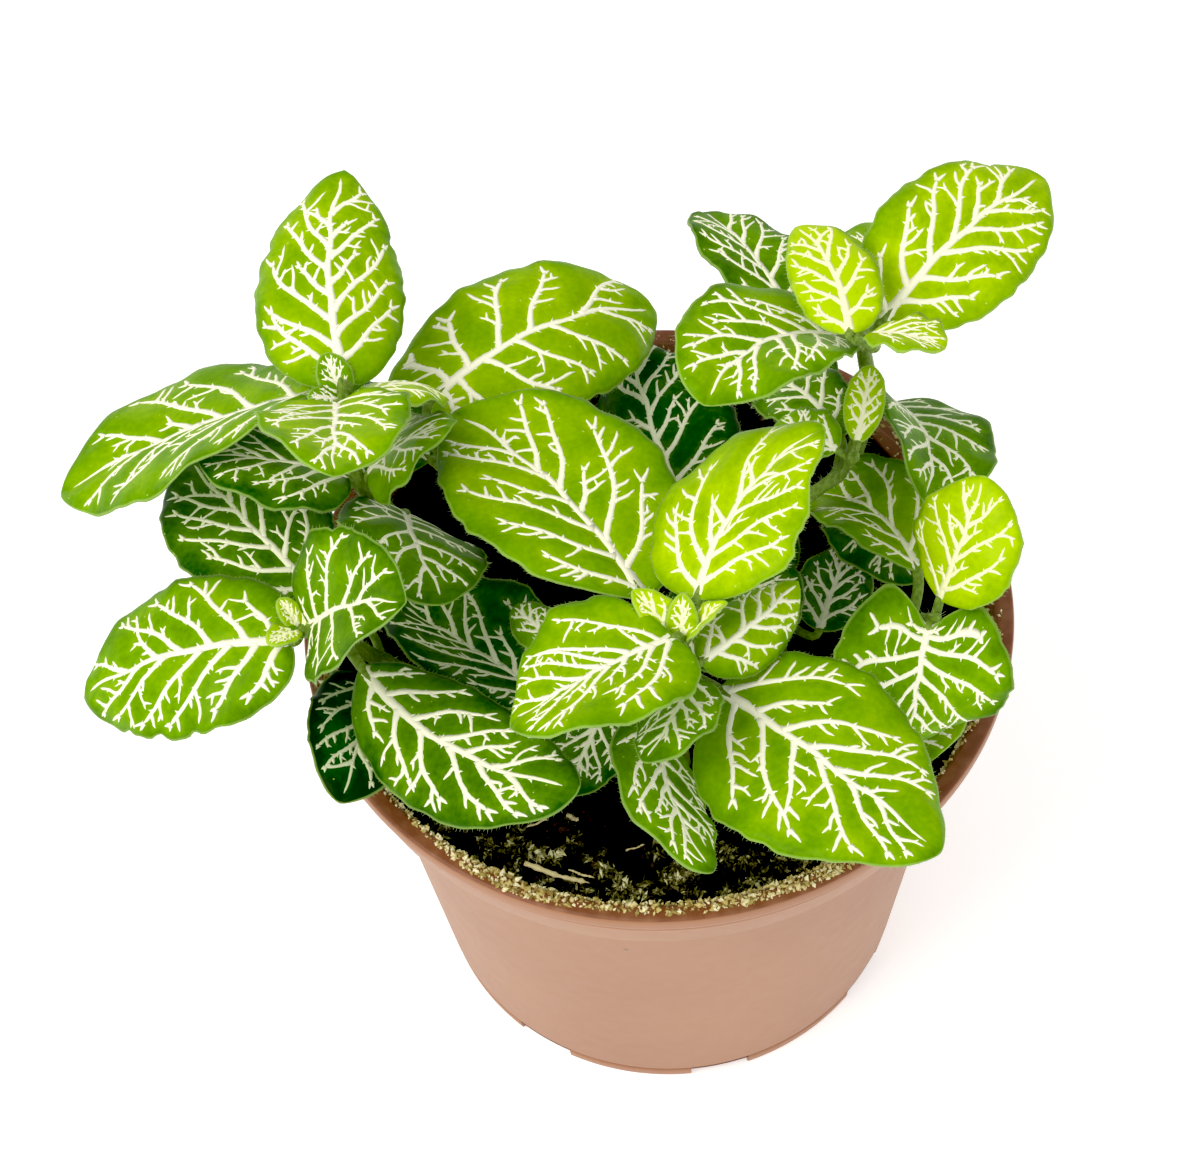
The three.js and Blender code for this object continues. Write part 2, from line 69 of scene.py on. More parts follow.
def into_scene(name, data):
    """A new object in the scene, from a mesh, a lamp or a lens."""
    thing = bpy.data.objects.new(name, data)
    bpy.context.scene.collection.objects.link(thing)
    return thing


lens = bpy.data.cameras.new("camera")
lens.lens = 90
lens.sensor_width = 36
lens.clip_start = 0.01
lens.clip_end = 20
camera = into_scene("camera", lens)
turn = Matrix.Rotation(math.radians(TURNED_LEFT), 4, "Z")
pitch = Matrix.Rotation(math.radians(LOOKS_UP_FROM_STRAIGHT_DOWN), 4, "X")
roll = Matrix.Rotation(math.radians(ROLLED), 4, "Z")
camera.matrix_world = Matrix.Translation(Vector(EYE_MM) * MM) @ turn @ pitch @ roll
bpy.context.scene.camera = camera
print("camera looks along", [round(x, 2) for x in (camera.matrix_world.to_3x3() @ Vector((0, 0, -1)))])

# %% [markdown]
# ## Finishes: the helpers
#
# Colours are picked as sRGB hex values, the way that they look on a screen, and Blender's shaders
# want linear light. One function turns the one into the other. A second one sets and links the
# sockets of a node, and a third adds a node with its settings, so that a material reads as a list.
# Some sockets go by number: a Map Range takes 0 from the range 1 to 2 into the range 3 to 4, and a
# colour Mix goes from 6 to 7 as 0 grows.

# %% Colour and node helpers
def linear(hex_colour):
    """An sRGB hex colour as linear red, green, blue and alpha: each channel c becomes c / 12.92
    where it is dark, and ((c + 0.055) / 1.055) to the power 2.4 elsewhere."""
    channels = np.array([int(hex_colour[i : i + 2], 16) / 255 for i in (1, 3, 5)])
    dark = channels / 12.92
    bright = ((channels + 0.055) / 1.055) ** 2.4
    return (*np.where(channels <= 0.04045, dark, bright).tolist(), 1.0)


def new_finish(name):
    """An empty material with its Principled shader, ready for settings."""
    made = bpy.data.materials.new(name)
    made.use_nodes = True
    return made, made.node_tree, made.node_tree.nodes["Principled BSDF"]


def plug(tree, node, inputs):
    """Gives each input socket of a node its value, or links it to another node's output."""
    for socket, value in inputs.items():
        if isinstance(value, bpy.types.NodeSocket):
            tree.links.new(value, node.inputs[socket])
        else:
            node.inputs[socket].default_value = value


def add(tree, kind, inputs=None, stops=(), **settings):
    """Adds a shader node. settings are its own properties, inputs are plugged into it, and stops are
    a colour ramp's places and hex colours."""
    node = tree.nodes.new("ShaderNode" + kind)
    for name, value in settings.items():
        setattr(node, name, value)
    if stops:
        points = node.color_ramp.elements
        points.remove(points[1])
        points[0].position = stops[0][0]
        points[0].color = linear(stops[0][1])
        for place, colour in stops[1:]:
            points.new(place).color = linear(colour)
    plug(tree, node, inputs or {})
    return node


print("linear mid grey:", round(linear("#808080")[0], 3))

# %% [markdown]
# ## Surfaces as rings of points
#
# A stem, a stalk, a blade and a vein are all one closed shape: rings of points carried along a
# path, with a flat cap or a pole at either end. numpy holds the rings of many such shapes in one
# array, so that the faces come from adding whole numbers to whole arrays. Each ring runs from the
# right over the top to the left, which makes every face look outwards.

# %% Rings to meshes
def lofted(rings, look=0, **values):
    """Closed shapes from rings, an array of shapes x rings x points x 3. A face joins points k and
    k + 1 of ring i with those of ring i + 1, and the end rings get a cap each. values are named
    numbers for the shader, one for each point."""
    shapes, steps, count, _ = rings.shape
    number = np.arange(shapes * steps * count).reshape(shapes, steps, count)
    after = np.roll(number, -1, axis=2)
    sides = np.stack([number[:, :-1], number[:, 1:], after[:, 1:], after[:, :-1]], axis=-1)
    caps = np.concatenate([number[:, 0], number[:, -1, ::-1]])
    spread = {name: np.broadcast_to(value, rings.shape[:3]).ravel() for name, value in values.items()}
    return {
        "points": rings.reshape(-1, 3),
        "faces": sides.reshape(-1, 4).tolist() + caps.tolist(),
        "look": look,
        "values": spread,
    }


def piece(name, parts, finishes, slot, *nodes, weld=False, smooth=True):
    """One object from several parts, in metres. It rides on the root body and stands for the named
    solids. slot is not used. weld joins the points of each pole into one."""
    points = np.concatenate([part["points"] for part in parts])
    faces, looks = [], []
    first = 0
    for part in parts:
        faces += [[first + corner for corner in face] for face in part["faces"]]
        looks += [part["look"]] * len(part["faces"])
        first += len(part["points"])
    made = bpy.data.meshes.new(name)
    made.from_pydata((points * MM).tolist(), [], faces)
    for finish in finishes:
        made.materials.append(finish)
    made.polygons.foreach_set("material_index", looks)
    made.polygons.foreach_set("use_smooth", [smooth] * len(faces))
    for key in sorted({key for part in parts for key in part["values"]}):
        filled = [part["values"].get(key, np.zeros(len(part["points"]))) for part in parts]
        made.attributes.new(key, "FLOAT", "POINT").data.foreach_set("value", np.concatenate(filled))
    if weld:
        body = bmesh.new()
        body.from_mesh(made)
        bmesh.ops.remove_doubles(body, verts=body.verts, dist=0.002 * MM)
        body.to_mesh(made)
        body.free()
    thing = into_scene(name, made)
    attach(thing, "root")
    if nodes:
        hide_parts(*nodes)
    return thing


# %% [markdown]
# ## The shoots
#
# The table repeats the model's own sizes, so that each fine leaf lies where its plain solid does.
# A leaf is written as its joint (0 is the youngest), its tone, its stalk's reach, turn and lift,
# the blade's length and width, its heading, its rise, droop and sway, its roll and twist, the fold
# and curl across it, and how full its outline is at the heel and at the point. A last number, where
# there is one, is how far the lobes of a heart-shaped base reach back. Lengths are millimetres and
# angles degrees. The tone runs from 0, an old leaf in the shade, to 1, the youngest yellow-green.

# %% The shoots
YOUNG, FULL, OLD = 0.85, 0.6, 0.3
PLAIN = ((0, 0), (10, 30), (0.55, 0.65))  # turning, section and outline of the hidden inner leaves
SHOOTS = {
    "left_back": {
        "foot": (-24, 6),
        "joints": [(-35.8, 6.2, 107), (-35.1, 2.4, 96), (-33, 5.5, 86)],
        "bud": 3.5,
        "leaves": [
            (0, YOUNG, (2, 75, 45), (33.5, 21), 104, (16, 28, -25), (5, -8), (-3, 50), (0.49, 0.62)),
            (0, FULL, (3.5, 155, 0), (37.5, 26), 170, (-24, 3, 25), (21, -26), (15, 25), (0.52, 0.69)),
            (0, YOUNG, (3.5, -100, 50), (24, 18), -86, (44, 23, 0), (-3, -20), (21, 18), (0.55, 0.65)),
            (0, YOUNG, (2, -15, 30), (14, 11.5), 39, (-8, 58, -1), (-28, 17), (5, 40), (0.55, 0.64)),
            (1, FULL, (2, -165, 50), (18.5, 19), -176, (37, 37, -8), (20, 2), (13, 29), (0.53, 0.65)),
            (1, FULL, (2, 0, 55), (14.5, 16), 8, (56, 33, -16), (-20, -21), (7, 36), (0.53, 0.66)),
            (2, OLD, (6, -52, 40), (24, 18.5), -83, (46, 41, 17), (-26, 20), (12, 29), (0.53, 0.65)),
            (2, OLD, (4, 128, 30), (20, 15), 125, (5, 30, 0), *PLAIN),
        ],
    },
    "back": {
        "foot": (-22, 18),
        "joints": [(-27.5, 13.2, 91.9), (-25, 15.5, 78)],
        "bud": 2,
        "leaves": [
            (0, FULL, (3.5, 76, 27), (36.5, 23), 39, (16, 58, -11), (7, 14), (8, 35), (0.5, 0.6), 6.5),
            (1, OLD, (4, 150, 30), (22, 16), 145, (8, 30, 0), *PLAIN),
            (1, OLD, (4, -30, 30), (17, 13), -15, (8, 30, 0), *PLAIN),
        ],
    },
    "left_front": {
        "foot": (-29, -8),
        "joints": [(-41.7, -18, 95.2), (-38, -13.5, 86), (-34, -10, 75)],
        "bud": 1,
        "leaves": [
            (0, YOUNG, (2.4, -114, 22), (30, 20.5), 177, (2, 52, 2), (-13, 0), (7, 35), (0.52, 0.67), 2),
            (0, FULL, (2, -17, 45), (20.5, 19), -23, (60, 30, -10), (30, -16), (25, 12), (0.51, 0.71)),
            (1, FULL, (6, 120, 35), (28, 19.5), 135, (17, 38, -13), (-1, -1), (12, 30), (0.56, 0.63)),
            (1, OLD, (5, -60, 5), (36.5, 17), -61, (8, -12, 39), (10, -21), (6, 43), (0.6, 0.64)),
            (2, OLD, (3.5, -110, 35), (22, 14), -90, (29, 34, -18), (-13, 0), (18, 24), (0.54, 0.66)),
            (2, OLD, (4, 115, 30), (16, 12), 128, (8, 30, 0), *PLAIN),
        ],
    },
    "front_low": {
        "foot": (-9, -16),
        "joints": [(-10.5, -18, 85), (-10.5, -17.5, 75)],
        "bud": 2,
        "leaves": [
            (0, FULL, (2.5, 135, 30), (9, 6), 127, (15, 40, 3), (-12, -5), (8, 36), (0.54, 0.65)),
            (1, OLD, (3, 175, 20), (24.5, 20.5), 148, (18, 33, -11), (12, 2), (28, 9), (0.53, 0.65)),
            (1, OLD, (4, -20, 20), (12, 10), -115, (-5, 15, 0), *PLAIN),
        ],
    },
    "front": {
        "foot": (2, -20),
        "joints": [(2.5, -28.5, 104.5), (3, -28.5, 100), (2.5, -25, 94), (1.5, -24, 85)],
        "bud": 3,
        "leaves": [
            (0, YOUNG, (3, -140, 70), (22, 21.5), -143, (27, 56, -16), (17, 28), (17, 21), (0.52, 0.65)),
            (0, YOUNG, (5.5, 65, 30), (25, 21.5), 75, (24, 3, -56), (-25, -6), (12, 29), (0.51, 0.66)),
            (1, FULL, (3, -30, 55), (17.5, 11), 33, (3, 24, 26), (16, 5), (-7, 56), (0.51, 0.67)),
            (1, FULL, (3.5, -80, 30), (14, 10.5), -106, (30, 34, -17), (27, 7), (7, 37), (0.54, 0.66)),
            (2, FULL, (5.5, -40, 10), (33.5, 25.5), -49, (19, 31, 7), (0, -33), (8, 33), (0.47, 0.67)),
            (2, FULL, (9.5, 120, 30), (37, 27), 117, (7, 18, 21), (10, -19), (17, 22), (0.57, 0.69)),
            (3, FULL, (4, -125, 30), (24.5, 13.5), -96, (22, 27, 37), (-39, -1), (9, 37), (0.56, 0.63)),
            (3, OLD, (5, 55, 20), (22, 16), 60, (5, 25, 0), *PLAIN),
        ],
    },
    "middle": {
        "foot": (4, 1),
        "joints": [(4, 4, 75)],
        "bud": 2,
        "leaves": [
            (0, OLD, (7, 95, 35), (26.5, 23), 110, (14, 23, -17), (-20, 5), (-6, 45), (0.48, 0.69)),
            (0, OLD, (5, -85, 25), (17, 14), -60, (5, 25, 0), *PLAIN),
        ],
    },
    "right_back": {
        "foot": (24, 16),
        "joints": [(24.5, 3, 118.5), (26.5, 7.5, 111.5), (26.5, 18, 99), (28, 21.5, 81), (25.5, 18, 73)],
        "bud": 2.5,
        "leaves": [
            (0, YOUNG, (2, -165, 45), (19.5, 10.5), 92, (13, 39, 27), (-4, -2), (9, 35), (0.46, 0.65)),
            (0, YOUNG, (2, -30, 50), (9.5, 10), -27, (34, 38, -6), (-24, 3), (18, 23), (0.55, 0.64)),
            (1, FULL, (2.7, 68, 26), (32, 19), 47, (22, 48, -3), (16, -7), (9, 35), (0.55, 0.65)),
            (1, FULL, (3.9, 171, 9), (26, 18.5), -162, (43, 43, 49), (4, -26), (22, 17), (0.56, 0.62)),
            (2, FULL, (9.8, 176, 27), (22, 14), 113, (17, 42, 11), (21, 12), (17, 24), (0.54, 0.66)),
            (3, FULL, (4, -31, 43), (26, 18), -61, (37, 27, -47), (-31, 8), (26, 12), (0.55, 0.66)),
            (2, FULL, (5, 70, 20), (18, 13), 85, (0, 30, 0), *PLAIN),
            (3, OLD, (5, 150, 20), (15, 12), 150, (5, 30, 0), *PLAIN),
            (4, OLD, (5, -80, 40), (21, 15), -75, (22, 20, 0), *PLAIN),
        ],
    },
    "right_inner": {
        "foot": (15, -4),
        "joints": [(24, 2, 97), (22.5, 3.5, 91.5), (16.5, 1.5, 86), (15, -4, 72)],
        "bud": 2,
        "leaves": [
            (0, YOUNG, (2, 65, 25), (11.5, 5), 76, (20, 32, 3), (3, 2), (15, 27), (0.55, 0.64)),
            (0, YOUNG, (2, 160, 25), (9.5, 7.5), 142, (13, 47, -10), (-4, -3), (14, 28), (0.56, 0.63)),
            (1, OLD, (4.7, 82, 29), (21, 11), 110, (4, 62, 26), (-3, -6), (11, 33), (0.55, 0.65)),
            (3, OLD, (7, -40, 25), (14, 10), 70, (8, 20, 0), *PLAIN),
            (3, OLD, (4, 120, 25), (14, 11), 92, (8, 25, 0), *PLAIN),
        ],
    },
    "right_front": {
        "foot": (26, -11),
        "joints": [(32.3, -17.6, 91.2), (30.5, -13, 83), (28.5, -14, 73)],
        "bud": 2.5,
        "leaves": [
            (0, YOUNG, (2.7, 57, 58), (16, 15), 50, (65, 34, 17), (-14, 9), (8, 34), (0.54, 0.67)),
            (0, FULL, (2.2, -114, 23), (16, 22.5), -107, (-13, 78, 4), (-24, -35), (17, 15), (0.56, 0.63),
             6.5),
            (1, FULL, (6.5, 80, 30), (21.5, 15), 104, (7, 47, 42), (-1, -17), (28, 10), (0.56, 0.64)),
            (2, OLD, (3, -75, 10), (12.5, 16.5), -87, (23, 17, 16), (9, 10), (16, 25), (0.55, 0.65)),
        ],
    },
}
leaf_count = sum(len(shoot["leaves"]) for shoot in SHOOTS.values())
print(len(SHOOTS), "shoots with", leaf_count, "leaves")

# %% [markdown]
# ## The shape of one leaf
#
# A nerve plant's blade is an oval that arches along its midrib and folds a little across it. The
# model gives it as a surface of two numbers: u runs from 0 at the stalk to 1 at the tip, and v from
# -1 at the right margin to 1 at the left one. Here the same surface is worked out for whole arrays
# of u and v at once, so it can carry a fine mesh, and later the veins and the hairs as well.

# %% One leaf's surface
SOIL_LEVEL = 65
STEM_DEPTH = 6
STEM_FOOT_RADIUS = 1.3
STEM_TIP_RADIUS = 0.65
STALK_LIFT = 20
WAVES = 3
WAVE_HEIGHT = 0.45
RIPPLE = 0.012
NOTCH_WIDTH = 0.022
BLADE_HALF_THICKNESS = 0.2
FOLD_BLEND = 0.1  # the v over which the face turns from one half's slope to the other's


def direction(turn, lift):
    """Unit vectors from a compass turn (0 is +X, 90 is +Y) and a lift, in degrees."""
    turn, lift = np.broadcast_arrays(np.radians(turn), np.radians(lift))
    level = np.cos(lift)
    return np.stack([np.cos(turn) * level, np.sin(turn) * level, np.sin(lift)], axis=-1)


def stem_radius(shoot, z):
    """A stem thins evenly from the soil to its youngest joint."""
    share = np.clip((z - SOIL_LEVEL) / (shoot["joints"][0][2] - SOIL_LEVEL), 0, 1)
    return STEM_FOOT_RADIUS + (STEM_TIP_RADIUS - STEM_FOOT_RADIUS) * share


class Leaf:
    """One leaf's sizes, and the surface of its blade."""

    def __init__(self, shoot, row):
        joint, self.tone, stalk, size, self.heading, course, turning, section, outline, *lobe = row
        self.joint = np.array(shoot["joints"][joint], float)
        self.stem_radius = stem_radius(shoot, self.joint[2])
        reach, self.turn, self.lift = stalk
        self.base = self.joint + reach * direction(self.turn, self.lift)
        self.length, self.width = size
        self.rise, self.droop, self.sway = course
        self.roll, self.twist = turning
        self.fold, self.curl = np.radians(section)
        self.heel, self.point = outline
        self.lobe = lobe[0] if lobe else 0
        self.notches = ()

    def directions(self, u):
        """Along the midrib, to its left, and out of the face, at each u. The heading swings by sway
        and the rise sinks by droop towards the tip, and roll and twist turn the left side."""
        along = direction(self.heading + self.sway * u, self.rise - self.droop * u)
        level = direction(self.heading + self.sway * u + 90, 0 * u)
        roll = np.radians(self.roll + self.twist * (u - 0.5))[..., None]
        left = level * np.cos(roll) + np.cross(along, level) * np.sin(roll)
        return along, left, np.cross(along, left)

    def midrib(self, u):
        """The midrib's points: the base plus the length times the sum of its directions up to u."""
        fine = np.linspace(0, 1, 201)
        along = self.directions((fine[1:] + fine[:-1]) / 2)[0] / 200
        summed = np.concatenate([np.zeros((1, 3)), np.cumsum(along, axis=0)])
        place = [np.interp(u, fine, summed[:, axis]) for axis in range(3)]
        return self.base + self.length * np.stack(place, axis=-1)

    def half(self, u):
        """Half of the width at u: u to the power heel times 1 - u to the power point, scaled so that
        its largest value is half of the blade's width."""
        widest = self.heel / (self.heel + self.point)
        full = widest**self.heel * (1 - widest) ** self.point
        return self.width / 2 * u**self.heel * (1 - u) ** self.point / full

    def uneven(self, u, v):
        """A share by which the outline is wider than its smooth form: two sines of u that differ from
        side to side, less a bell curve for each notch. It fades out towards the midrib."""
        start = self.heading + 90 * np.sign(v)
        ripple = np.sin(2 * np.pi * 7 * u + start) + 0.8 * np.sin(2 * np.pi * 11 * u + 2 * start)
        change = RIPPLE * ripple
        for place, side, depth in self.notches:
            change = change - depth * np.exp(-(((u - place) / NOTCH_WIDTH) ** 2)) * (np.sign(v) == side)
        return v**4 * change

    def surface(self, u, v, height=0.0):
        """Points of the blade at u and v, lifted out of it by height. Each half is an arc that
        starts at the fold's slope and bends down by curl. The margin waves gently, and the lobes of
        a heart-shaped base reach back."""
        u, v = np.broadcast_arrays(np.asarray(u, float), np.asarray(v, float))
        along, left, up = self.directions(u)
        half = self.half(u)
        slope = self.fold - self.curl * np.abs(v)
        across = np.sign(v) * half * (np.sin(self.fold) - np.sin(slope)) / self.curl
        across = across * (1 + self.uneven(u, v))
        wave = WAVE_HEIGHT * np.abs(v) ** 3 * np.sin(2 * np.pi * WAVES * u + v)
        wave = wave * np.minimum(1, half / 5)
        rise = half * (np.cos(slope) - np.cos(self.fold)) / self.curl + wave
        back = self.lobe * v**2 * (1 - u) ** 3 * np.minimum(1, 4 * half / self.width)
        side = np.tanh(v / FOLD_BLEND)
        out = up * np.cos(slope)[..., None] - left * (side * np.sin(slope))[..., None]
        place = self.midrib(u) + left * across[..., None] + up * rise[..., None]
        place = place - along * back[..., None]
        return place + out * np.broadcast_to(height, u.shape)[..., None]


first = Leaf(SHOOTS["left_back"], SHOOTS["left_back"]["leaves"][0])
print("left_back leaf 1 reaches", first.surface(1.0, 0.0).round(1), "mm")

# %% [markdown]
# ## The veins
#
# What gives the plant its name is the net of pale veins. On each blade one midrib runs to the tip.
# From it 4 to 8 side veins leave on either side, steeply near the stalk and closer to the midrib
# near the tip, and they bend forwards. They branch again, a branch that meets a neighbour sometimes
# joins it, and short spurs stand on all of them like thorns. A painted pattern would blur, so each
# vein is a low solid ridge. The net is drawn on the flat blade first, in millimetres along and
# across it, and each new vein keeps clear of those that are already there.

# %% The veins' lines on a flat blade
POINTS_IN = {"midrib": 36, "side": 20, "branch": 8, "spur": 3}
TRIED = 33  # points at which a new vein is tried for room
DOT_SPACING = 0.25  # mm between the points of a vein that later ones keep clear of
MIDRIB_REACH = 0.94  # share of the blade's length that the midrib runs
HEART_LOBE = 6.5  # how far the lobes of a fully heart-shaped leaf reach back, in mm


def trace(start, angle, bend, length, points, waver=0.0, phase=0.0):
    """A vein's line: it leaves start at an angle to the midrib, in degrees and positive to the left,
    turns by bend on its way, and wavers. Its points are the running sum of short equal moves."""
    share = np.linspace(0, 1, points)
    turn = np.radians(angle + bend * share + waver * np.sin(2 * np.pi * (1.3 * share + phase)))
    middle = (turn[1:] + turn[:-1]) / 2
    moves = length / (points - 1) * np.stack([np.cos(middle), np.sin(middle)], axis=-1)
    return np.concatenate([[start], start + np.cumsum(moves, axis=0)])


def heading_at(line, share):
    """A line's place at a share of its length, and its angle to the midrib there, in degrees."""
    at = share * (len(line) - 1)
    low = min(int(at), len(line) - 2)
    move = line[low + 1] - line[low]
    return line[low] + (at - low) * move, np.degrees(np.arctan2(move[1], move[0]))


def length_of(line):
    """The length of a line of points: the sum of its moves."""
    return np.linalg.norm(np.diff(line, axis=0), axis=1).sum()


class Veins:
    """All the veins of one leaf, by kind, each as a line and its width at either end. Three measures
    follow from the leaf's size: scale for the reach of branches, thick for the width of veins, and
    gap for the strip along the margin that has none."""

    def __init__(self, leaf, pairs, rng, fan=0.0):
        self.leaf, self.pairs, self.rng = leaf, pairs, rng
        self.fan = max(fan, leaf.lobe / HEART_LOBE)
        self.scale = 0.5 + 0.5 * leaf.length / 33
        self.thick = 0.8 + 0.031 * leaf.length
        self.gap = 0.5 + 0.035 * leaf.width
        self.found = {kind: [] for kind in POINTS_IN}
        self.drawn = np.zeros((0, 2))
        self.mains = []
        self.ran_into = False
        self.draw_midrib()
        self.draw_sides()
        self.branch_out()
        self.add_spurs()

    def room(self, line, gap):
        """Which points of a line lie at least gap inside the margin."""
        u = line[:, 0] / self.leaf.length
        half = self.leaf.half(np.clip(u, 0.001, 0.999))
        return (u > 0.004) & (u < 0.975) & (np.abs(line[:, 1]) < half - gap)

    def draw(self, kind, start, angle, bend, length, widths, waver=0.0, gap=1.0, clear=0.6, joins=0.0):
        """Traces a vein and cuts it short where it comes within gap of the margin, or within clear of
        another vein. Near its start it may be as close as its own angle to its parent makes it. With
        the chance joins, one that a neighbour stops runs on to meet it."""
        phase = self.rng.uniform()
        line = trace(start, angle, bend, length, TRIED, waver, phase)
        apart = np.linalg.norm(line[:, None] - self.drawn, axis=-1)
        gone = np.linspace(0, length, TRIED)
        free = apart.min(axis=1) >= np.minimum(clear * self.scale, 0.42 * gone - 0.02)
        inside = self.room(line, gap * self.gap)
        stop = int(np.argmin(np.append(free & inside, False)))
        if gone[min(stop, TRIED - 1)] < 0.3:
            return None
        met = stop < TRIED and inside[stop] and self.rng.uniform() < joins
        self.ran_into = met
        count = POINTS_IN[kind]
        line = trace(start, angle, bend, gone[max(stop - 1, 1)], count, waver, phase)
        if met:
            goal = self.drawn[apart[stop].argmin()]
            line = line + (goal - line[-1]) * (np.linspace(0, 1, count) ** 2)[:, None]
        self.keep(kind, line, widths)
        return line

    def keep(self, kind, line, widths):
        """Notes a vein, and close points on it for others to keep clear of."""
        self.found[kind].append((line, *widths))
        share = np.linspace(0, len(line) - 1, int(length_of(line) / DOT_SPACING) + 2)
        dense = [np.interp(share, np.arange(len(line)), line[:, k]) for k in (0, 1)]
        self.drawn = np.concatenate([self.drawn, np.stack(dense, axis=-1)])

    def draw_midrib(self):
        """The midrib sways a little on its way to the tip."""
        share = np.linspace(0, 1, POINTS_IN["midrib"])
        swings = self.pairs * share / 2 + self.rng.uniform()
        sway = 0.014 * self.leaf.width * np.sin(2 * np.pi * swings)
        line = np.stack([MIDRIB_REACH * self.leaf.length * share, sway * share], axis=-1)
        self.keep("midrib", line, (0.74 * self.thick, 0.24 * self.thick))

    def draw_sides(self):
        """Side veins leave the midrib in turn to the left and to the right, and bend forwards. Where
        fan is 1, as in a heart-shaped leaf, they crowd towards the stalk and the first ones point
        backwards. One that comes close to another may run into it."""
        midrib = self.found["midrib"][0][0]
        for k in range(self.pairs):
            for side in (1, -1):
                step = k + 0.12 + 0.45 * (side < 0) + self.rng.uniform(-0.12, 0.12)
                u = 0.03 + 0.76 * (step / self.pairs) ** (1 + 0.6 * self.fan)
                start, _ = heading_at(midrib, u / MIDRIB_REACH)
                back = self.fan * (1 - u) ** 3
                angle = 60 + 40 * back - 28 * u**0.7 + self.rng.uniform(-4, 4)
                bend = -side * self.rng.uniform(0.25, 0.6) * (angle - 60 * back)
                widths = (self.thick * (0.56 - 0.14 * u), self.thick * 0.27)
                gap = self.rng.uniform(0.8, 1.2)
                line = self.draw("side", start, side * angle, bend, 1.5 * self.leaf.width, widths,
                                 waver=8, gap=gap, clear=1.3, joins=0.25)
                if line is not None:
                    self.mains.append((line, side, self.ran_into))

    def branch_out(self):
        """Every side vein sends curved branches off to either side, from a quarter of its length on.
        One that hasn't run into a neighbour ends in a fork. A third of the branches bear a twig."""
        rng, thick, grown = self.rng, self.thick, []
        for line, side, _ in self.mains:
            count = max(1, round(0.75 * length_of(line) / (2.3 * self.scale)))
            for number in range(count):
                share = (number + rng.uniform(0.1, 0.9)) / count
                place, heading = heading_at(line, 0.25 + 0.68 * share)
                turn = side if (number + len(grown)) % 2 == 0 else -side
                angle = heading + turn * rng.uniform(42, 68)
                bend, length = -turn * rng.uniform(-10, 45), rng.uniform(1.2, 4.4) * self.scale
                widths = (0.33 * thick, 0.2 * thick)
                grown.append(self.draw("branch", place, angle, bend, length, widths, waver=9, gap=0.75,
                                       clear=0.75, joins=0.35))
        for line, _, ran_into in self.mains:
            place, heading = heading_at(line, 1.0)
            for turn in () if ran_into else (1, -1):
                angle = heading + turn * rng.uniform(22, 44)
                length = rng.uniform(0.6, 2.2) * self.scale
                self.draw("branch", place, angle, -turn * 20, length, (0.29 * thick, 0.15 * thick),
                          gap=0.7, joins=0.35)
        for line in grown:
            if line is None or rng.uniform() < 0.65:
                continue
            place, heading = heading_at(line, rng.uniform(0.45, 0.8))
            angle = heading + rng.choice([-1, 1]) * rng.uniform(45, 68)
            length = rng.uniform(0.6, 1.6) * self.scale
            self.draw("branch", place, angle, 0, length, (0.22 * thick, 0.14 * thick),
                      waver=8, gap=0.7, joins=0.5)

    def add_spurs(self):
        """Short pointed spurs along the veins, 1 to 3 mm apart, on one side and then the other."""
        rng = self.rng
        for kind, spacing in (("midrib", 2.2), ("side", 1.9), ("branch", 3.2)):
            for line, wide, _ in list(self.found[kind]):
                count = int(length_of(line) / (spacing * self.scale))
                for number in range(count):
                    share = 0.88 * (number + rng.uniform(0.1, 0.9)) / count
                    place, heading = heading_at(line, share)
                    turn = 1 if number % 2 == 0 else -1
                    length = wide / 2 + rng.uniform(0.1, 0.38) * self.scale
                    self.draw("spur", place, heading + turn * rng.uniform(45, 80), 0, length,
                              (0.3 * self.thick, 0.05 * self.thick), gap=0.5, clear=0.35)


trial = Veins(first, 6, np.random.default_rng(1))
print("veins of one leaf:", {kind: len(found) for kind, found in trial.found.items()})

# %% [markdown]
# ## From lines to a leaf
#
# Between its veins a blade bulges like a quilt, and it sinks where a vein holds it down. So the
# distance to the nearest vein is measured for every point of the blade, and the bulge grows with
# it. The same distance, and the distance to the margin, go to the shader as values on the points.

# %% The blade and its veins as solids
BULGE = 0.28  # mm that the blade rises between its veins
BULGE_REACH = 1.7  # mm from a vein at which it has risen fully
MARGIN_REACH = 1.5  # mm from the margin at which it has as well
RIDGE_HEIGHT = {"midrib": 0.1, "side": 0.08, "branch": 0.06, "spur": 0.05}
FLARE = {"midrib": 3.5, "side": 0.7, "branch": 0.4, "spur": 0.2}  # mm over which its start is wider
VEIN_SUNK = 0.02  # mm from the blade's face down to a vein's edges
IN_BLADE, IN_VEIN, IN_HAIR, IN_STEM = range(4)  # the finishes of a leaf, by number


def smooth_step(x):
    """0 below 0, 1 above 1, and three times x squared less twice x cubed between."""
    x = np.clip(x, 0, 1)
    return x * x * (3 - 2 * x)


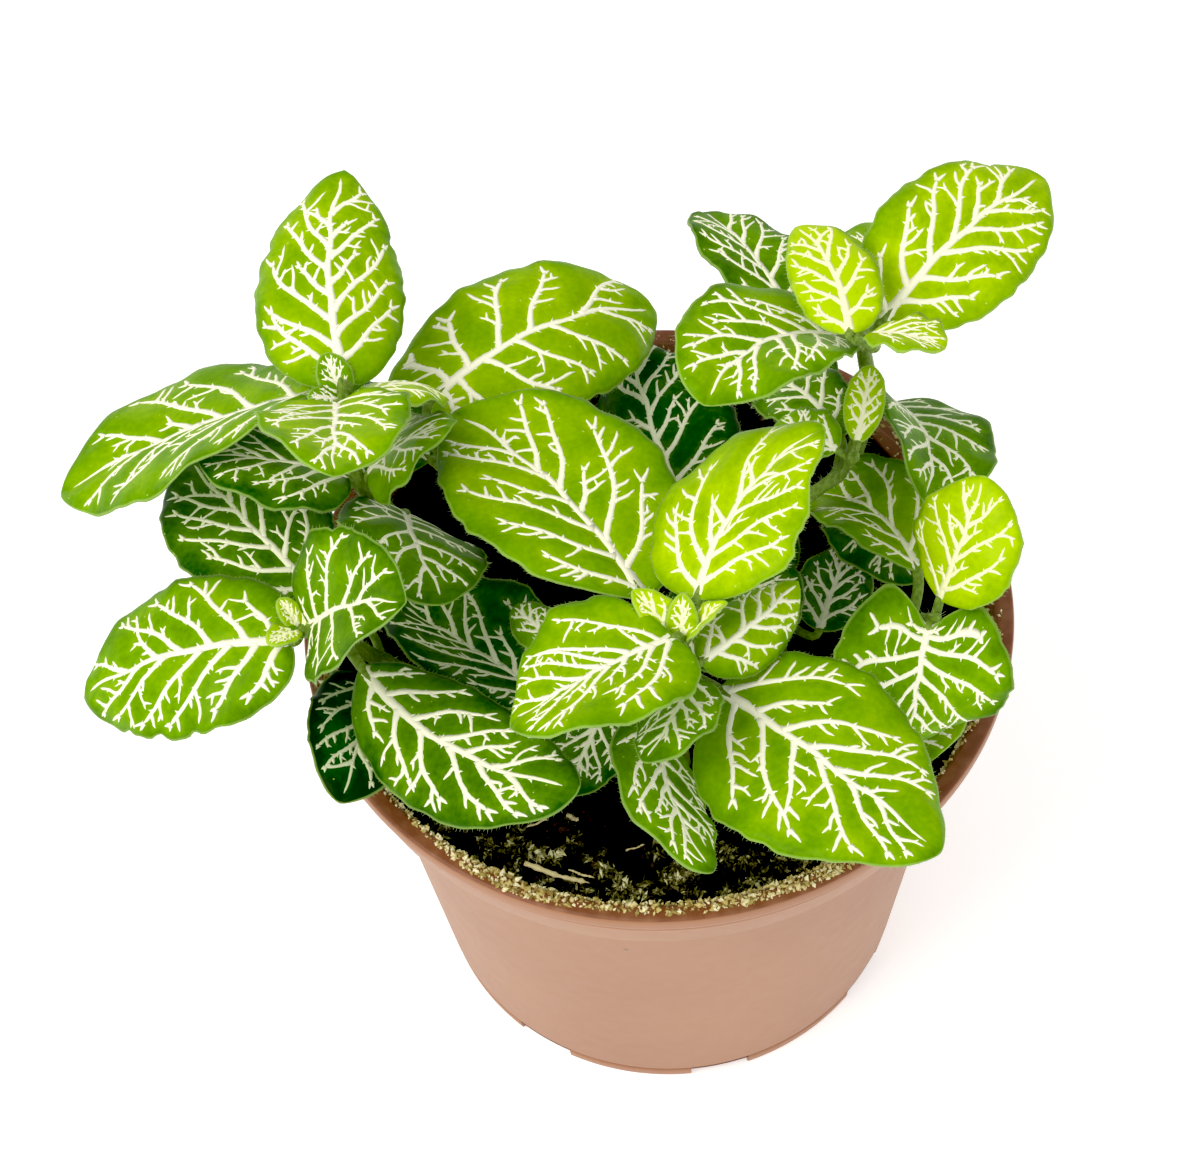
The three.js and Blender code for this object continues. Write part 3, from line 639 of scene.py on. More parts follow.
class Blade:
    """The blade's mesh with its quilted relief, and what the veins need to lie on it. Its rows are
    close together at both ends. rim is each point's distance to the margin, away the one to the
    nearest vein, and bulge the height of the relief, all in mm."""

    def __init__(self, leaf, veins):
        self.leaf, self.veins = leaf, veins
        steps = int(max(16, leaf.length / 0.42))
        self.u = (1 - np.cos(np.pi * np.linspace(0, 1, steps))) / 2
        self.v = np.linspace(-1, 1, 2 * int(max(5, leaf.width / 1.7)) + 1)
        u, v = np.meshgrid(self.u, self.v, indexing="ij")
        half = leaf.half(u)
        to_ends = np.minimum(1.2 * (1 - u), 1.5 * u) * leaf.length
        self.rim = np.minimum((1 - np.abs(v)) * half, to_ends)
        self.away = self.vein_distance(np.stack([u * leaf.length, v * half], axis=-1))
        self.bulge = BULGE * smooth_step(self.away / BULGE_REACH) * smooth_step(self.rim / MARGIN_REACH)

    def vein_distance(self, places):
        """For each place on the flat blade, the distance to the edge of the nearest vein."""
        nearest = np.full(places.shape[:-1], np.inf)
        for kind in ("midrib", "side", "branch"):
            for line, wide, narrow in self.veins.found[kind]:
                width = np.linspace(wide, narrow, len(line)) / 2
                gaps = np.linalg.norm(places[..., None, :] - line, axis=-1) - width
                nearest = np.minimum(nearest, gaps.min(axis=-1))
        return np.maximum(nearest, 0)

    def bulge_at(self, u, v):
        """The relief between the mesh's own points: weighted from the four round each place."""
        row = np.interp(u, self.u, np.arange(len(self.u)))
        column = (v + 1) / 2 * (len(self.v) - 1)
        i = np.clip(row.astype(int), 0, len(self.u) - 2)
        j = np.clip(column.astype(int), 0, len(self.v) - 2)
        a, b = row - i, column - j
        near = self.bulge[i, j] * (1 - b) + self.bulge[i, j + 1] * b
        far = self.bulge[i + 1, j] * (1 - b) + self.bulge[i + 1, j + 1] * b
        return near * (1 - a) + far * a

    def part(self):
        """The closed blade: its top from right to left, then its underside back again."""

        def both(values):
            return np.concatenate([values, values[:, ::-1]], axis=1)[None]

        u, v = np.meshgrid(self.u, self.v, indexing="ij")
        half_thick = BLADE_HALF_THICKNESS * (1 - 0.45 * np.abs(v) ** 6) * np.minimum(1, 20 * (1 - u))
        top = self.leaf.surface(u, v, half_thick + self.bulge)
        under = self.leaf.surface(u, v, -half_thick + 0.8 * self.bulge)[:, ::-1]
        upper = np.concatenate([np.ones_like(u), np.zeros_like(u)], axis=1)[None]
        rings = np.concatenate([top, under], axis=1)[None]
        rings[:, 0] = self.leaf.base
        rings[:, -1] = self.leaf.surface(1.0, 0.0)
        return lofted(rings, IN_BLADE, rim=both(self.rim), away=both(self.away), upper=upper,
                      tone=self.leaf.tone)

    def laid(self, places, height):
        """Flat places on the blade's top, or at another height in its thickness."""
        u = np.clip(places[..., 0] / self.leaf.length, 0.002, 0.996)
        v = np.clip(places[..., 1] / self.leaf.half(u), -0.98, 0.98)
        return self.leaf.surface(u, v, self.bulge_at(u, v) + height)

    def vein_parts(self, rng):
        """Every vein as a closed ridge. Its edges lie just under the blade's face, so that they cut
        it cleanly, and its width is uneven. Midrib and side veins also stand out underneath."""
        parts = []
        for kind, found in self.veins.found.items():
            if not found:
                continue
            lines = np.stack([line for line, _, _ in found])
            ends = np.array([[wide, narrow] for _, wide, narrow in found])
            share = np.linspace(0, 1, lines.shape[1])
            width = ends[:, :1] * (1 - share) + ends[:, 1:] * share
            gone = np.linalg.norm(lines - lines[:, :1], axis=-1)
            width *= 1 + 0.6 * np.exp(-gone / FLARE[kind])
            width *= np.minimum(1, 0.35 + np.linalg.norm(lines - lines[:, -1:], axis=-1) / 0.5)
            moves = np.gradient(lines, axis=1)
            moves /= np.linalg.norm(moves, axis=-1, keepdims=True) + 1e-9
            leftward = np.stack([-moves[..., 1], moves[..., 0]], axis=-1)
            uneven = 1 + 0.09 * rng.standard_normal((2, *width.shape))
            right = lines - leftward * (width * uneven[0] / 2)[..., None]
            left = lines + leftward * (width * uneven[1] / 2)[..., None]
            face = BLADE_HALF_THICKNESS
            edge = face - VEIN_SUNK
            ridge = face + RIDGE_HEIGHT[kind] * np.minimum(1, width / 0.5)
            ring = [self.laid(right, edge), self.laid(lines, ridge), self.laid(left, edge)]
            if kind in ("midrib", "side"):
                below = 0.35 * width + 0.02
                ring += [self.laid((lines + left) / 2, 0.03 - face), self.laid(lines, -face - below),
                         self.laid((lines + right) / 2, 0.03 - face)]
            else:
                ring.append(self.laid(lines, 0.0))
            core = np.array([0, 1, 0, 0, 1, 0][: len(ring)], float)
            parts.append(lofted(np.stack(ring, axis=2), IN_VEIN, core=core, tone=self.leaf.tone))
        return parts


# %% [markdown]
# ## Stalks and hairs
#
# A short stalk carries each blade. It leaves the stem nearly level and turns into the midrib, and
# it goes on under the blade for a while, where it thins away. Fine pale hairs stand along the
# margin. Each is a slim three-sided spike, because the light only catches it as a bright line.

# %% Stalks and hairs
HAIR_WIDTH = 0.05


def unit(vectors):
    """Vectors divided by their lengths."""
    return vectors / np.linalg.norm(vectors, axis=-1, keepdims=True)


def round_ring(sides):
    """The angles of a ring's points, from the right over the top to the left and back below."""
    return np.pi - 2 * np.pi * np.arange(sides) / sides


def cubic_curve(a, b, leave, arrive, w):
    """The cubic curve from a to b at shares w, which starts along leave and ends along arrive: each
    of the four times its own cubic of w."""
    return (a * (2 * w**3 - 3 * w**2 + 1) + b * (3 * w**2 - 2 * w**3)
            + leave * (w**3 - 2 * w**2 + w) + arrive * (w**3 - w**2))


def tube(path, widths, heights, sides=12, **values):
    """A closed tube of oval rings round a path: each ring's point is the centre plus the half width
    times the cosine to the left and the half height times the sine upwards."""
    along = unit(np.gradient(path, axis=0))
    left = unit(np.cross([0.0, 0.0, 1.0], along) + 1e-6)
    up = np.cross(along, left)
    angle = round_ring(sides)
    flat = (np.cos(angle)[None, :, None] * left[:, None]) * np.reshape(widths, (-1, 1, 1))
    tall = (np.sin(angle)[None, :, None] * up[:, None]) * np.reshape(heights, (-1, 1, 1))
    return lofted((path[:, None] + flat + tall)[None], **values)


def stalk_part(leaf):
    """The stalk: a cubic curve from inside the stem to the blade's base, then on under the midrib."""
    outwards = direction(leaf.turn, min(leaf.lift, STALK_LIFT))
    start = leaf.joint + direction(leaf.turn, 0) * 0.5 * leaf.stem_radius
    along = leaf.directions(np.array(0.0))[0]
    reach = np.linalg.norm(leaf.base - start)
    curve = cubic_curve(start, leaf.base, outwards * reach, along * reach, np.linspace(0, 1, 9)[:, None])
    u = np.linspace(0.02, 0.2, 6)
    under = leaf.surface(u, 0 * u, -0.12)
    path = np.concatenate([curve, under])
    slim = 0.5 + 0.5 * min(1, leaf.length / 24)
    widths = slim * np.concatenate([np.linspace(0.72, 0.7, 9), np.linspace(0.62, 0.2, 6)])
    heights = slim * np.concatenate([np.linspace(0.66, 0.58, 9), np.linspace(0.5, 0.2, 6)])
    return tube(path, widths, heights, look=IN_STEM, tone=leaf.tone)


def spikes(roots, tips):
    """Three-sided hairs from roots to tips, each a ring of three points and a much smaller one. The
    rings lie square to the hair, on two axes made from it and one slanting line."""
    along = unit(tips - roots)
    left = unit(np.cross(along, [0.31, 0.52, 0.79]))
    up = np.cross(along, left)
    angle = round_ring(3)
    ring = HAIR_WIDTH * (np.cos(angle)[:, None] * left[:, None] + np.sin(angle)[:, None] * up[:, None])
    return lofted(np.stack([roots[:, None] + 0.5 * ring, tips[:, None] + 0.1 * ring], axis=1), IN_HAIR)


def margin_hairs(leaf, rng):
    """Hairs every half millimetre along both margins, pointing out and a little forwards."""
    count = int(leaf.length / 0.5)
    u = np.tile(np.linspace(0.03, 0.985, count), 2) + rng.uniform(-0.004, 0.004, 2 * count)
    side = np.repeat([1.0, -1.0], count)
    along, left, up = leaf.directions(u)
    roots = leaf.surface(u, side * 0.995)
    out = left * side[:, None] + along * rng.uniform(-0.2, 0.7, (2 * count, 1))
    out = unit(out + up * rng.uniform(-0.4, 0.4, (2 * count, 1)))
    return spikes(roots, roots + out * rng.uniform(0.25, 0.6, (2 * count, 1)))


# %% [markdown]
# ## What a leaf is made of
#
# A living blade is a satin skin over wet green tissue. Its colour comes from the tissue, so it
# varies slowly with age and with each small cell, while the skin gives an even, slightly waxy
# shine. The veins are the same skin with no green under it, so they are cream-white. One ramp runs
# from the dark green of an old shaded leaf to the yellow-green of a young one.

# %% Leaf blade, vein, hair and stem finishes
def blade_finish():
    """Living leaf skin: satin, fine-grained, green by its tone, paler under it and at the rim."""
    made, tree, skin = new_finish("living leaf blade")
    place = add(tree, "TexCoord").outputs["Object"]
    tone, away, rim, upper = (
        add(tree, "Attribute", attribute_name=name).outputs["Fac"]
        for name in ("tone", "away", "rim", "upper")
    )
    patches = add(tree, "TexNoise", {"Vector": place, "Scale": 1 / (7 * MM), "Detail": 2.0})
    patch = add(tree, "MapRange", {0: patches.outputs["Fac"], 1: 0.3, 2: 0.7, 3: -0.1, 4: 0.1})
    cells = add(tree, "TexNoise", {"Vector": place, "Scale": 1 / (0.7 * MM), "Detail": 3.0})
    cell = add(tree, "MapRange", {0: cells.outputs["Fac"], 1: 0.3, 2: 0.7, 3: -0.05, 4: 0.05})
    glow = add(tree, "MapRange", {0: away, 1: 0.0, 2: 0.7, 3: 0.1, 4: 0.0})
    outer = add(tree, "MapRange", {0: rim, 1: 0.3, 2: 2.6, 3: -0.1, 4: 0.02})
    shade = tone
    for change in (patch, cell, glow, outer):
        shade = add(tree, "Math", {0: shade, 1: change.outputs[0]}, operation="ADD").outputs[0]
    green = add(tree, "ValToRGB", {"Fac": shade}, stops=GREENS).outputs["Color"]
    specks = add(tree, "TexVoronoi", {"Vector": place, "Scale": 1 / (1.5 * MM)})
    dot = add(tree, "MapRange", {0: specks.outputs["Distance"], 1: 0.06, 2: 0.1, 3: 0.55, 4: 0.0})
    rare = add(tree, "Math", {0: patches.outputs["Fac"], 1: 0.52}, operation="GREATER_THAN")
    dotted = add(tree, "Math", {0: dot.outputs[0], 1: rare.outputs[0]}, operation="MULTIPLY")
    pale = add(tree, "Mix", {0: dotted.outputs[0], 6: green, 7: linear(SPECK)}, data_type="RGBA")
    edge = add(tree, "MapRange", {0: rim, 1: 0.1, 2: 0.35, 3: 0.5, 4: 0.0})
    rimmed = add(tree, "Mix", {0: edge.outputs[0], 6: pale.outputs[2], 7: linear(RIM)},
                 data_type="RGBA")
    dull = add(tree, "Mix", {0: 0.55, 6: green, 7: linear(UNDERSIDE)}, data_type="RGBA")
    colour = add(tree, "Mix", {0: upper, 6: dull.outputs[2], 7: rimmed.outputs[2]}, data_type="RGBA")
    grain = add(tree, "TexNoise", {"Vector": place, "Scale": 1 / (0.35 * MM), "Detail": 3.0})
    bump = add(tree, "Bump", {"Height": grain.outputs["Fac"], "Strength": 0.35, "Distance": 0.06 * MM})
    plug(tree, skin, {"Base Color": colour.outputs[2], "Normal": bump.outputs["Normal"],
                      "Roughness": 0.42, "IOR": 1.42, "Specular IOR Level": 0.1})
    return made


def vein_finish():
    """Vein tissue: cream-white along its middle, tinted by the green of the blade at its edges."""
    made, tree, skin = new_finish("cream leaf vein")
    core = add(tree, "Attribute", attribute_name="core").outputs["Fac"]
    tone = add(tree, "Attribute", attribute_name="tone").outputs["Fac"]
    # The veins follow the blade's tone, so those of the darker leaves are greyer: partly age, partly
    # painted shade.
    age_and_shade = add(tree, "ValToRGB", {"Fac": tone}, stops=VEIN_TONES).outputs["Color"]
    middle = add(tree, "MapRange", {0: core, 1: 0.0, 2: 0.35, 3: 0.3, 4: 0.0})
    colour = add(tree, "Mix", {0: middle.outputs[0], 6: age_and_shade, 7: linear(VEIN_EDGE)}, data_type="RGBA")
    plug(tree, skin, {"Base Color": colour.outputs[2], "Roughness": 0.5, "IOR": 1.42,
                      "Specular IOR Level": 0.3})
    return made


def stem_finish():
    """A soft young stem: pale yellow-green skin with fine lengthwise streaks."""
    made, tree, skin = new_finish("soft green stem")
    place = add(tree, "TexCoord").outputs["Object"]
    drawn = add(tree, "Mapping", {"Vector": place, "Scale": (1, 1, 0.2)}).outputs[0]
    streaks = add(tree, "TexNoise", {"Vector": drawn, "Scale": 1 / (0.5 * MM), "Detail": 3.0})
    colour = add(tree, "ValToRGB", {"Fac": streaks.outputs["Fac"]}, stops=STEM_TONES)
    plug(tree, skin, {"Base Color": colour.outputs["Color"], "Roughness": 0.5,
                      "Specular IOR Level": 0.2})
    return made


def hair_finish():
    """Clear fine plant hairs, which read as pale green lines."""
    made, tree, skin = new_finish("pale leaf hair")
    plug(tree, skin, {"Base Color": linear("#c9dba0"), "Roughness": 0.6})
    return made


GREENS = (
    (0.0, "#093000"), (0.2, "#1e5200"), (0.4, "#507c04"),
    (0.6, "#6c9b04"), (0.8, "#8cb306"), (1.0, "#afcf0d"),
)
SPECK = "#cfe07a"
RIM = "#a9c86a"
UNDERSIDE = "#9db57c"
VEIN_TONES = ((0.0, "#c3cba6"), (0.3, "#f4f3da"), (0.75, "#fcfae2"), (1.0, "#fbfac4"))
VEIN_EDGE = "#a9bf52"
STEM_TONES = ((0.3, "#5c7a26"), (0.7, "#86a046"))

LEAF_FINISHES = (blade_finish(), vein_finish(), hair_finish(), stem_finish())
print("finishes:", ", ".join(finish.name for finish in LEAF_FINISHES))

# %% [markdown]
# ## All the leaves
#
# Each leaf is one object: the blade, its veins, its stalk and its hairs. The random draws start
# from the leaf's own number, so that the plant is the same each time. Four small tables, matched
# one by one, give what single leaves have of their own: PAIRS the number of side veins on either
# side, where it isn't the usual five or six, FANNED how far the first of them spread back, from 0
# to 1, TONES a finer tone than young, full-grown and old, and NOTCHES the dents in the margin.

# %% Growing the leaves
PAIRS = {
    "left_back_1": 7, "front_1": 8, "front_2": 7, "right_front_1": 6, "right_front_2": 7,
    "right_front_3": 4,
}
FANNED = {"left_front_2": 0.8, "left_back_7": 0.9, "right_back_6": 0.5}
# A leaf's tone is partly its age and partly painted light: a leaf in shade is given a darker green and a
# lit one a lighter green.
TONES = {
    "left_back_1": 0.68, "left_back_2": 0.6, "left_back_3": 0.7, "left_back_5": 0.36,
    "left_back_6": 0.6, "left_back_7": 0.42, "back_1": 0.72, "left_front_1": 0.55,
    "left_front_2": 0.42, "left_front_3": 0.32, "left_front_4": 0.36, "left_front_5": 0.02,
    "front_low_1": 0.5, "front_low_2": 0.24, "front_1": 0.66, "front_2": 0.84, "front_3": 0.7,
    "front_4": 0.5, "front_5": 0.62, "front_6": 0.68, "front_7": 0.52, "middle_1": 0.16,
    "right_back_1": 0.98, "right_back_2": 0.85, "right_back_3": 0.82, "right_back_4": 0.6,
    "right_back_5": 0.42, "right_back_6": 0.46, "right_front_1": 0.95, "right_front_2": 0.52,
    "right_front_3": 0.66, "right_front_4": 0.7, "right_inner_2": 0.66, "right_inner_3": 0.45,
}
NOTCHES = {  # place along the leaf, side (1 is left) and depth
    "left_back_1": ((0.72, -1, 0.1), (0.66, 1, 0.08)),
    "right_back_3": ((0.84, 1, 0.12),),
    "left_front_1": ((0.45, 1, 0.05), (0.62, 1, 0.06), (0.78, 1, 0.07), (0.86, -1, 0.06)),
    "left_front_2": ((0.3, 1, 0.06), (0.48, 1, 0.06), (0.66, 1, 0.06)),
    "front_2": ((0.8, -1, 0.06),),
}


def grow_leaf(shoot, row, pairs, seed, tone=None, notches=(), fan=0.0):
    """The parts of one leaf: blade, veins, stalk and hairs."""
    leaf = Leaf(shoot, row)
    leaf.tone = leaf.tone if tone is None else tone
    leaf.notches = notches
    rng = np.random.default_rng(seed)
    blade = Blade(leaf, Veins(leaf, pairs, rng, fan))
    return [blade.part(), *blade.vein_parts(rng), stalk_part(leaf), margin_hairs(leaf, rng)]


SLOTS = {YOUNG: "leaf_young", FULL: "leaf_full", OLD: "leaf_old"}
faces_of_leaves = 0
for turn, (name, shoot) in enumerate(SHOOTS.items()):
    for number, row in enumerate(shoot["leaves"], 1):
        which = f"{name}_{number}"
        blade_length = row[3][0]
        pairs = PAIRS.get(which, 6 if blade_length > 23 else 5)
        parts = grow_leaf(shoot, row, pairs, 100 * turn + number, TONES.get(which),
                          NOTCHES.get(which, ()), FANNED.get(which, 0.0))
        made = piece(f"{name}_leaf_{number}", parts, LEAF_FINISHES, SLOTS[row[1]], f"leaf_{which}",
                     weld=True)
        faces_of_leaves += len(made.data.polygons)
print(f"{leaf_count} leaves, {faces_of_leaves} faces")

# %% [markdown]
# ## The stems
#
# A stem is a soft tube through its joints, a little thicker at each one. It stands in the peat and
# ends in a bud. Short hairs stand all over it. Its line is the same smooth curve that the model's
# solid follows: it passes through each joint with a slope that the joints before and after give it.
# At three tips stand leaves too small for a solid of their own, written as the others are.

# %% Growing the stems
STEM_HAIRS = 8  # on each millimetre of a stem's height
STEM_SEED, TIP_SEED = 900, 950  # higher than every leaf's, which are 100 times its shoot and more


def stem_line(shoot, steps):
    """Points along the stem: between two of its joints, the cubic curve whose end slopes come from
    the joints on either side, weighed by the square roots of the distances."""
    x, y = shoot["foot"]
    planted = [(x, y, SOIL_LEVEL - STEM_DEPTH), (x, y, SOIL_LEVEL)]
    knots = np.array([*planted, *shoot["joints"][::-1]], float)
    knots = np.concatenate([[2 * knots[0] - knots[1]], knots, [2 * knots[-1] - knots[-2]]])
    gaps = np.linalg.norm(np.diff(knots, axis=0), axis=1) ** 0.5
    place = np.linspace(0, len(knots) - 3, steps)
    i = np.minimum(place.astype(int), len(knots) - 4)
    w = (place - i)[:, None]
    before, a, b, after = knots[i], knots[i + 1], knots[i + 2], knots[i + 3]
    g0, g1, g2 = (gaps[i + k][:, None] for k in range(3))
    leave = ((a - before) / g0 - (b - before) / (g0 + g1) + (b - a) / g1) * g1
    arrive = ((b - a) / g1 - (after - a) / (g1 + g2) + (after - b) / g2) * g1
    return cubic_curve(a, b, leave, arrive, w)


def stem_parts(shoot, rng):
    """The stem with its swollen joints and pointed bud, and the hairs on it."""
    path = stem_line(shoot, 16 * (len(shoot["joints"]) + 1))
    radius = stem_radius(shoot, path[:, 2])
    for joint in shoot["joints"]:
        radius = radius * (1 + 0.22 * np.exp(-np.sum((path - joint) ** 2, axis=1) / 1.6))
    top = unit(path[-1] - path[-2])
    share = np.array([0.35, 0.7, 0.92, 1.0])
    path = np.concatenate([path, path[-1] + share[:, None] * shoot["bud"] * top])
    radius = np.concatenate([radius, radius[-1] * np.array([1.0, 0.7, 0.35, 0.08])])
    count = int(STEM_HAIRS * (path[-1, 2] - SOIL_LEVEL))
    place = rng.uniform(0.25, 0.99, count) * (len(path) - 1)
    centres = np.stack([np.interp(place, np.arange(len(path)), path[:, k]) for k in range(3)], axis=-1)
    thick = np.interp(place, np.arange(len(path)), radius)[:, None]
    out = direction(rng.uniform(0, 360, count), rng.uniform(-20, 40, count))
    ends = centres + out * (thick + rng.uniform(0.4, 0.8, (count, 1)))
    return [tube(path, radius, radius, look=IN_STEM), spikes(centres + out * thick * 0.9, ends)]


TIP_LEAVES = {
    "front": [
        (0, 0.95, (1.2, 150, 50), (7.5, 5), 138, (48, 30, 0), (0, 0), (30, 20), (0.5, 0.7)),
        (0, 1.0, (1.0, 20, 50), (6.5, 4.4), 30, (46, 30, 0), (-30, 0), (34, 20), (0.5, 0.7)),
        (0, 0.9, (0.8, 80, 60), (5.5, 4), 85, (55, 20, 0), (0, 0), (30, 20), (0.5, 0.7)),
    ],
    "left_back": [
        (0, 0.6, (0.8, 110, 45), (5.5, 4.6), 115, (38, 10, 0), (0, 0), (20, 20), (0.42, 0.6)),
        (0, 0.6, (0.8, -30, 45), (4.6, 3.8), -35, (40, 10, 0), (0, 0), (22, 20), (0.42, 0.6)),
        (0, 0.6, (0.8, 200, 45), (4.6, 3.8), 205, (40, 10, 0), (0, 0), (22, 20), (0.42, 0.6)),
    ],
    "left_front": [
        (0, 0.9, (0.8, 40, 45), (5, 4), 45, (45, 15, 0), (0, 0), (25, 20), (0.45, 0.6)),
        (0, 0.9, (0.8, 220, 45), (5, 4), 230, (35, 15, 0), (0, 0), (25, 20), (0.45, 0.6)),
        (0, 0.9, (0.8, 130, 60), (4, 3.2), 135, (50, 15, 0), (0, 0), (25, 20), (0.45, 0.6)),
    ],
}
for turn, (name, shoot) in enumerate(SHOOTS.items()):
    rng = np.random.default_rng(STEM_SEED + turn)
    parts = stem_parts(shoot, rng)
    for number, row in enumerate(TIP_LEAVES.get(name, ())):
        parts += grow_leaf(shoot, row, 4, TIP_SEED + 10 * turn + number)
    piece(f"{name}_stem", parts, LEAF_FINISHES, "stem", f"stem_{name}", weld=True)
print(len(SHOOTS), "stems,", sum(map(len, TIP_LEAVES.values())), "tip leaves")

# %% [markdown]
# ## The pot
#
# The pot is moulded polypropylene, barely over a millimetre thick. Its wall tapers to a ring of
# feet, and it steps out twice at the rim: to a band that stiffens it, and to the lip. One profile
# turned round the axis gives all of it. The gaps between the feet need no cutting: where an angle
# lies in a gap, the foot's points are lifted to the gap's height.

# %% The pot's sizes and profile
POT_HEIGHT, RIM_RADIUS, FOOT_RADIUS, WALL = 70, 45, 32.5, 1.2
FLOOR = 1.5
LEDGE_HEIGHT, LEDGE_RADIUS = 2.6, 32.9
WALL_TOP_RADIUS = 39.6
BAND_HEIGHT, BAND_FOOT, BAND_TOP = 9.4, 42.8, 44.3
LIP_HEIGHT, LIP_WIDTH = 2, 2.4
CHANNEL_IN, CHANNEL_OUT, CHANNEL_HEIGHT = 18, 27, 2.5
GAPS, GAP_FIRST, GAP_WIDTH, GAP_HEIGHT = 8, -34.5, 7.5, 2.3
GAP_MIDDLES = np.radians(GAP_FIRST + 360 / GAPS * np.arange(GAPS))
GAP_HALF_ANGLE = GAP_WIDTH / (FOOT_RADIUS + CHANNEL_OUT)
DRAINS, DRAIN_FIRST, DRAIN_RADIUS, DRAIN_RING = 8, -57, 3, 22.5


def rounded(corners, radius, steps=4):
    """The profile with its corners rounded: at each one it follows a curve from start to end, which
    lie at most radius away. The curve is their mean with the corner, by squares of shares."""
    corners = np.array(corners, float)
    path = [corners[:1]]
    w = np.linspace(0, 1, steps)[:, None]
    for before, at, after in zip(corners, corners[1:], corners[2:]):
        sides = (before - at, after - at)
        start, end = (at + side * min(radius / np.linalg.norm(side), 0.45) for side in sides)
        path.append(start * (1 - w) ** 2 + 2 * at * w * (1 - w) + end * w**2)
    path.append(corners[-1:])
    return np.concatenate(path)


def inner_wall(z):
    """The inside radius of the tapered wall at a height."""
    slope = (WALL_TOP_RADIUS - LEDGE_RADIUS) / (POT_HEIGHT - BAND_HEIGHT - LEDGE_HEIGHT)
    return LEDGE_RADIUS + slope * (z - LEDGE_HEIGHT) - WALL


def turned(profile, angles, lift):
    """A closed shape turned round the axis: each profile point's radius times the cosine and sine of
    each angle. lift gives the heights, as an array of profile points x angles."""
    radius, z = profile[:, :1], profile[:, 1:]
    height = lift(radius, z, angles)
    place = np.stack([radius * np.cos(angles), radius * np.sin(angles), height], axis=-1)
    number = np.arange(place[..., 0].size).reshape(place.shape[:2])
    after = np.roll(number, -1, axis=1)
    faces = np.stack([number[:-1], after[:-1], after[1:], number[1:]], axis=-1).reshape(-1, 4).tolist()
    return {"points": place.reshape(-1, 3), "faces": faces, "look": 0, "values": {}}


def pot_profile():
    """The pot's section, from the middle of its underside out, up, over the lip and back inside."""
    band_foot, lip_foot, top = POT_HEIGHT - BAND_HEIGHT, POT_HEIGHT - LIP_HEIGHT, POT_HEIGHT
    floor_top = CHANNEL_HEIGHT + FLOOR
    return rounded([
        (0, 0), (CHANNEL_IN, 0), (CHANNEL_IN + 0.5, CHANNEL_HEIGHT),
        (CHANNEL_OUT - 0.5, CHANNEL_HEIGHT), (CHANNEL_OUT, 0),
        (FOOT_RADIUS, 0), (FOOT_RADIUS + 0.3, LEDGE_HEIGHT - 0.4),
        (FOOT_RADIUS - 0.3, LEDGE_HEIGHT - 0.1), (LEDGE_RADIUS, LEDGE_HEIGHT + 0.2),
        (WALL_TOP_RADIUS, band_foot), (BAND_FOOT, band_foot),
        (BAND_TOP - 0.22, lip_foot - 2), (BAND_TOP, lip_foot - 1.75), (BAND_TOP - 0.16, lip_foot - 1.5),
        (BAND_TOP, lip_foot - 0.5), (RIM_RADIUS, lip_foot), (RIM_RADIUS, top),
        (RIM_RADIUS - LIP_WIDTH, top), (BAND_FOOT - WALL, band_foot + WALL),
        (WALL_TOP_RADIUS - WALL, band_foot + WALL - 0.3), (inner_wall(floor_top), floor_top),
        (CHANNEL_IN - 1, floor_top), (CHANNEL_IN - 1.4, FLOOR), (0, FLOOR),
    ], 0.6)


def lift_gaps(radius, z, angles):
    """Heights of the pot's points: in a gap between two feet none is lower than the gap is high."""
    away = np.abs((angles[:, None] - GAP_MIDDLES + np.pi) % (2 * np.pi) - np.pi).min(axis=1)
    in_gap = (away < GAP_HALF_ANGLE)[None, :] & (radius > CHANNEL_OUT - 0.6)
    return np.where(in_gap, np.maximum(z, GAP_HEIGHT), z)


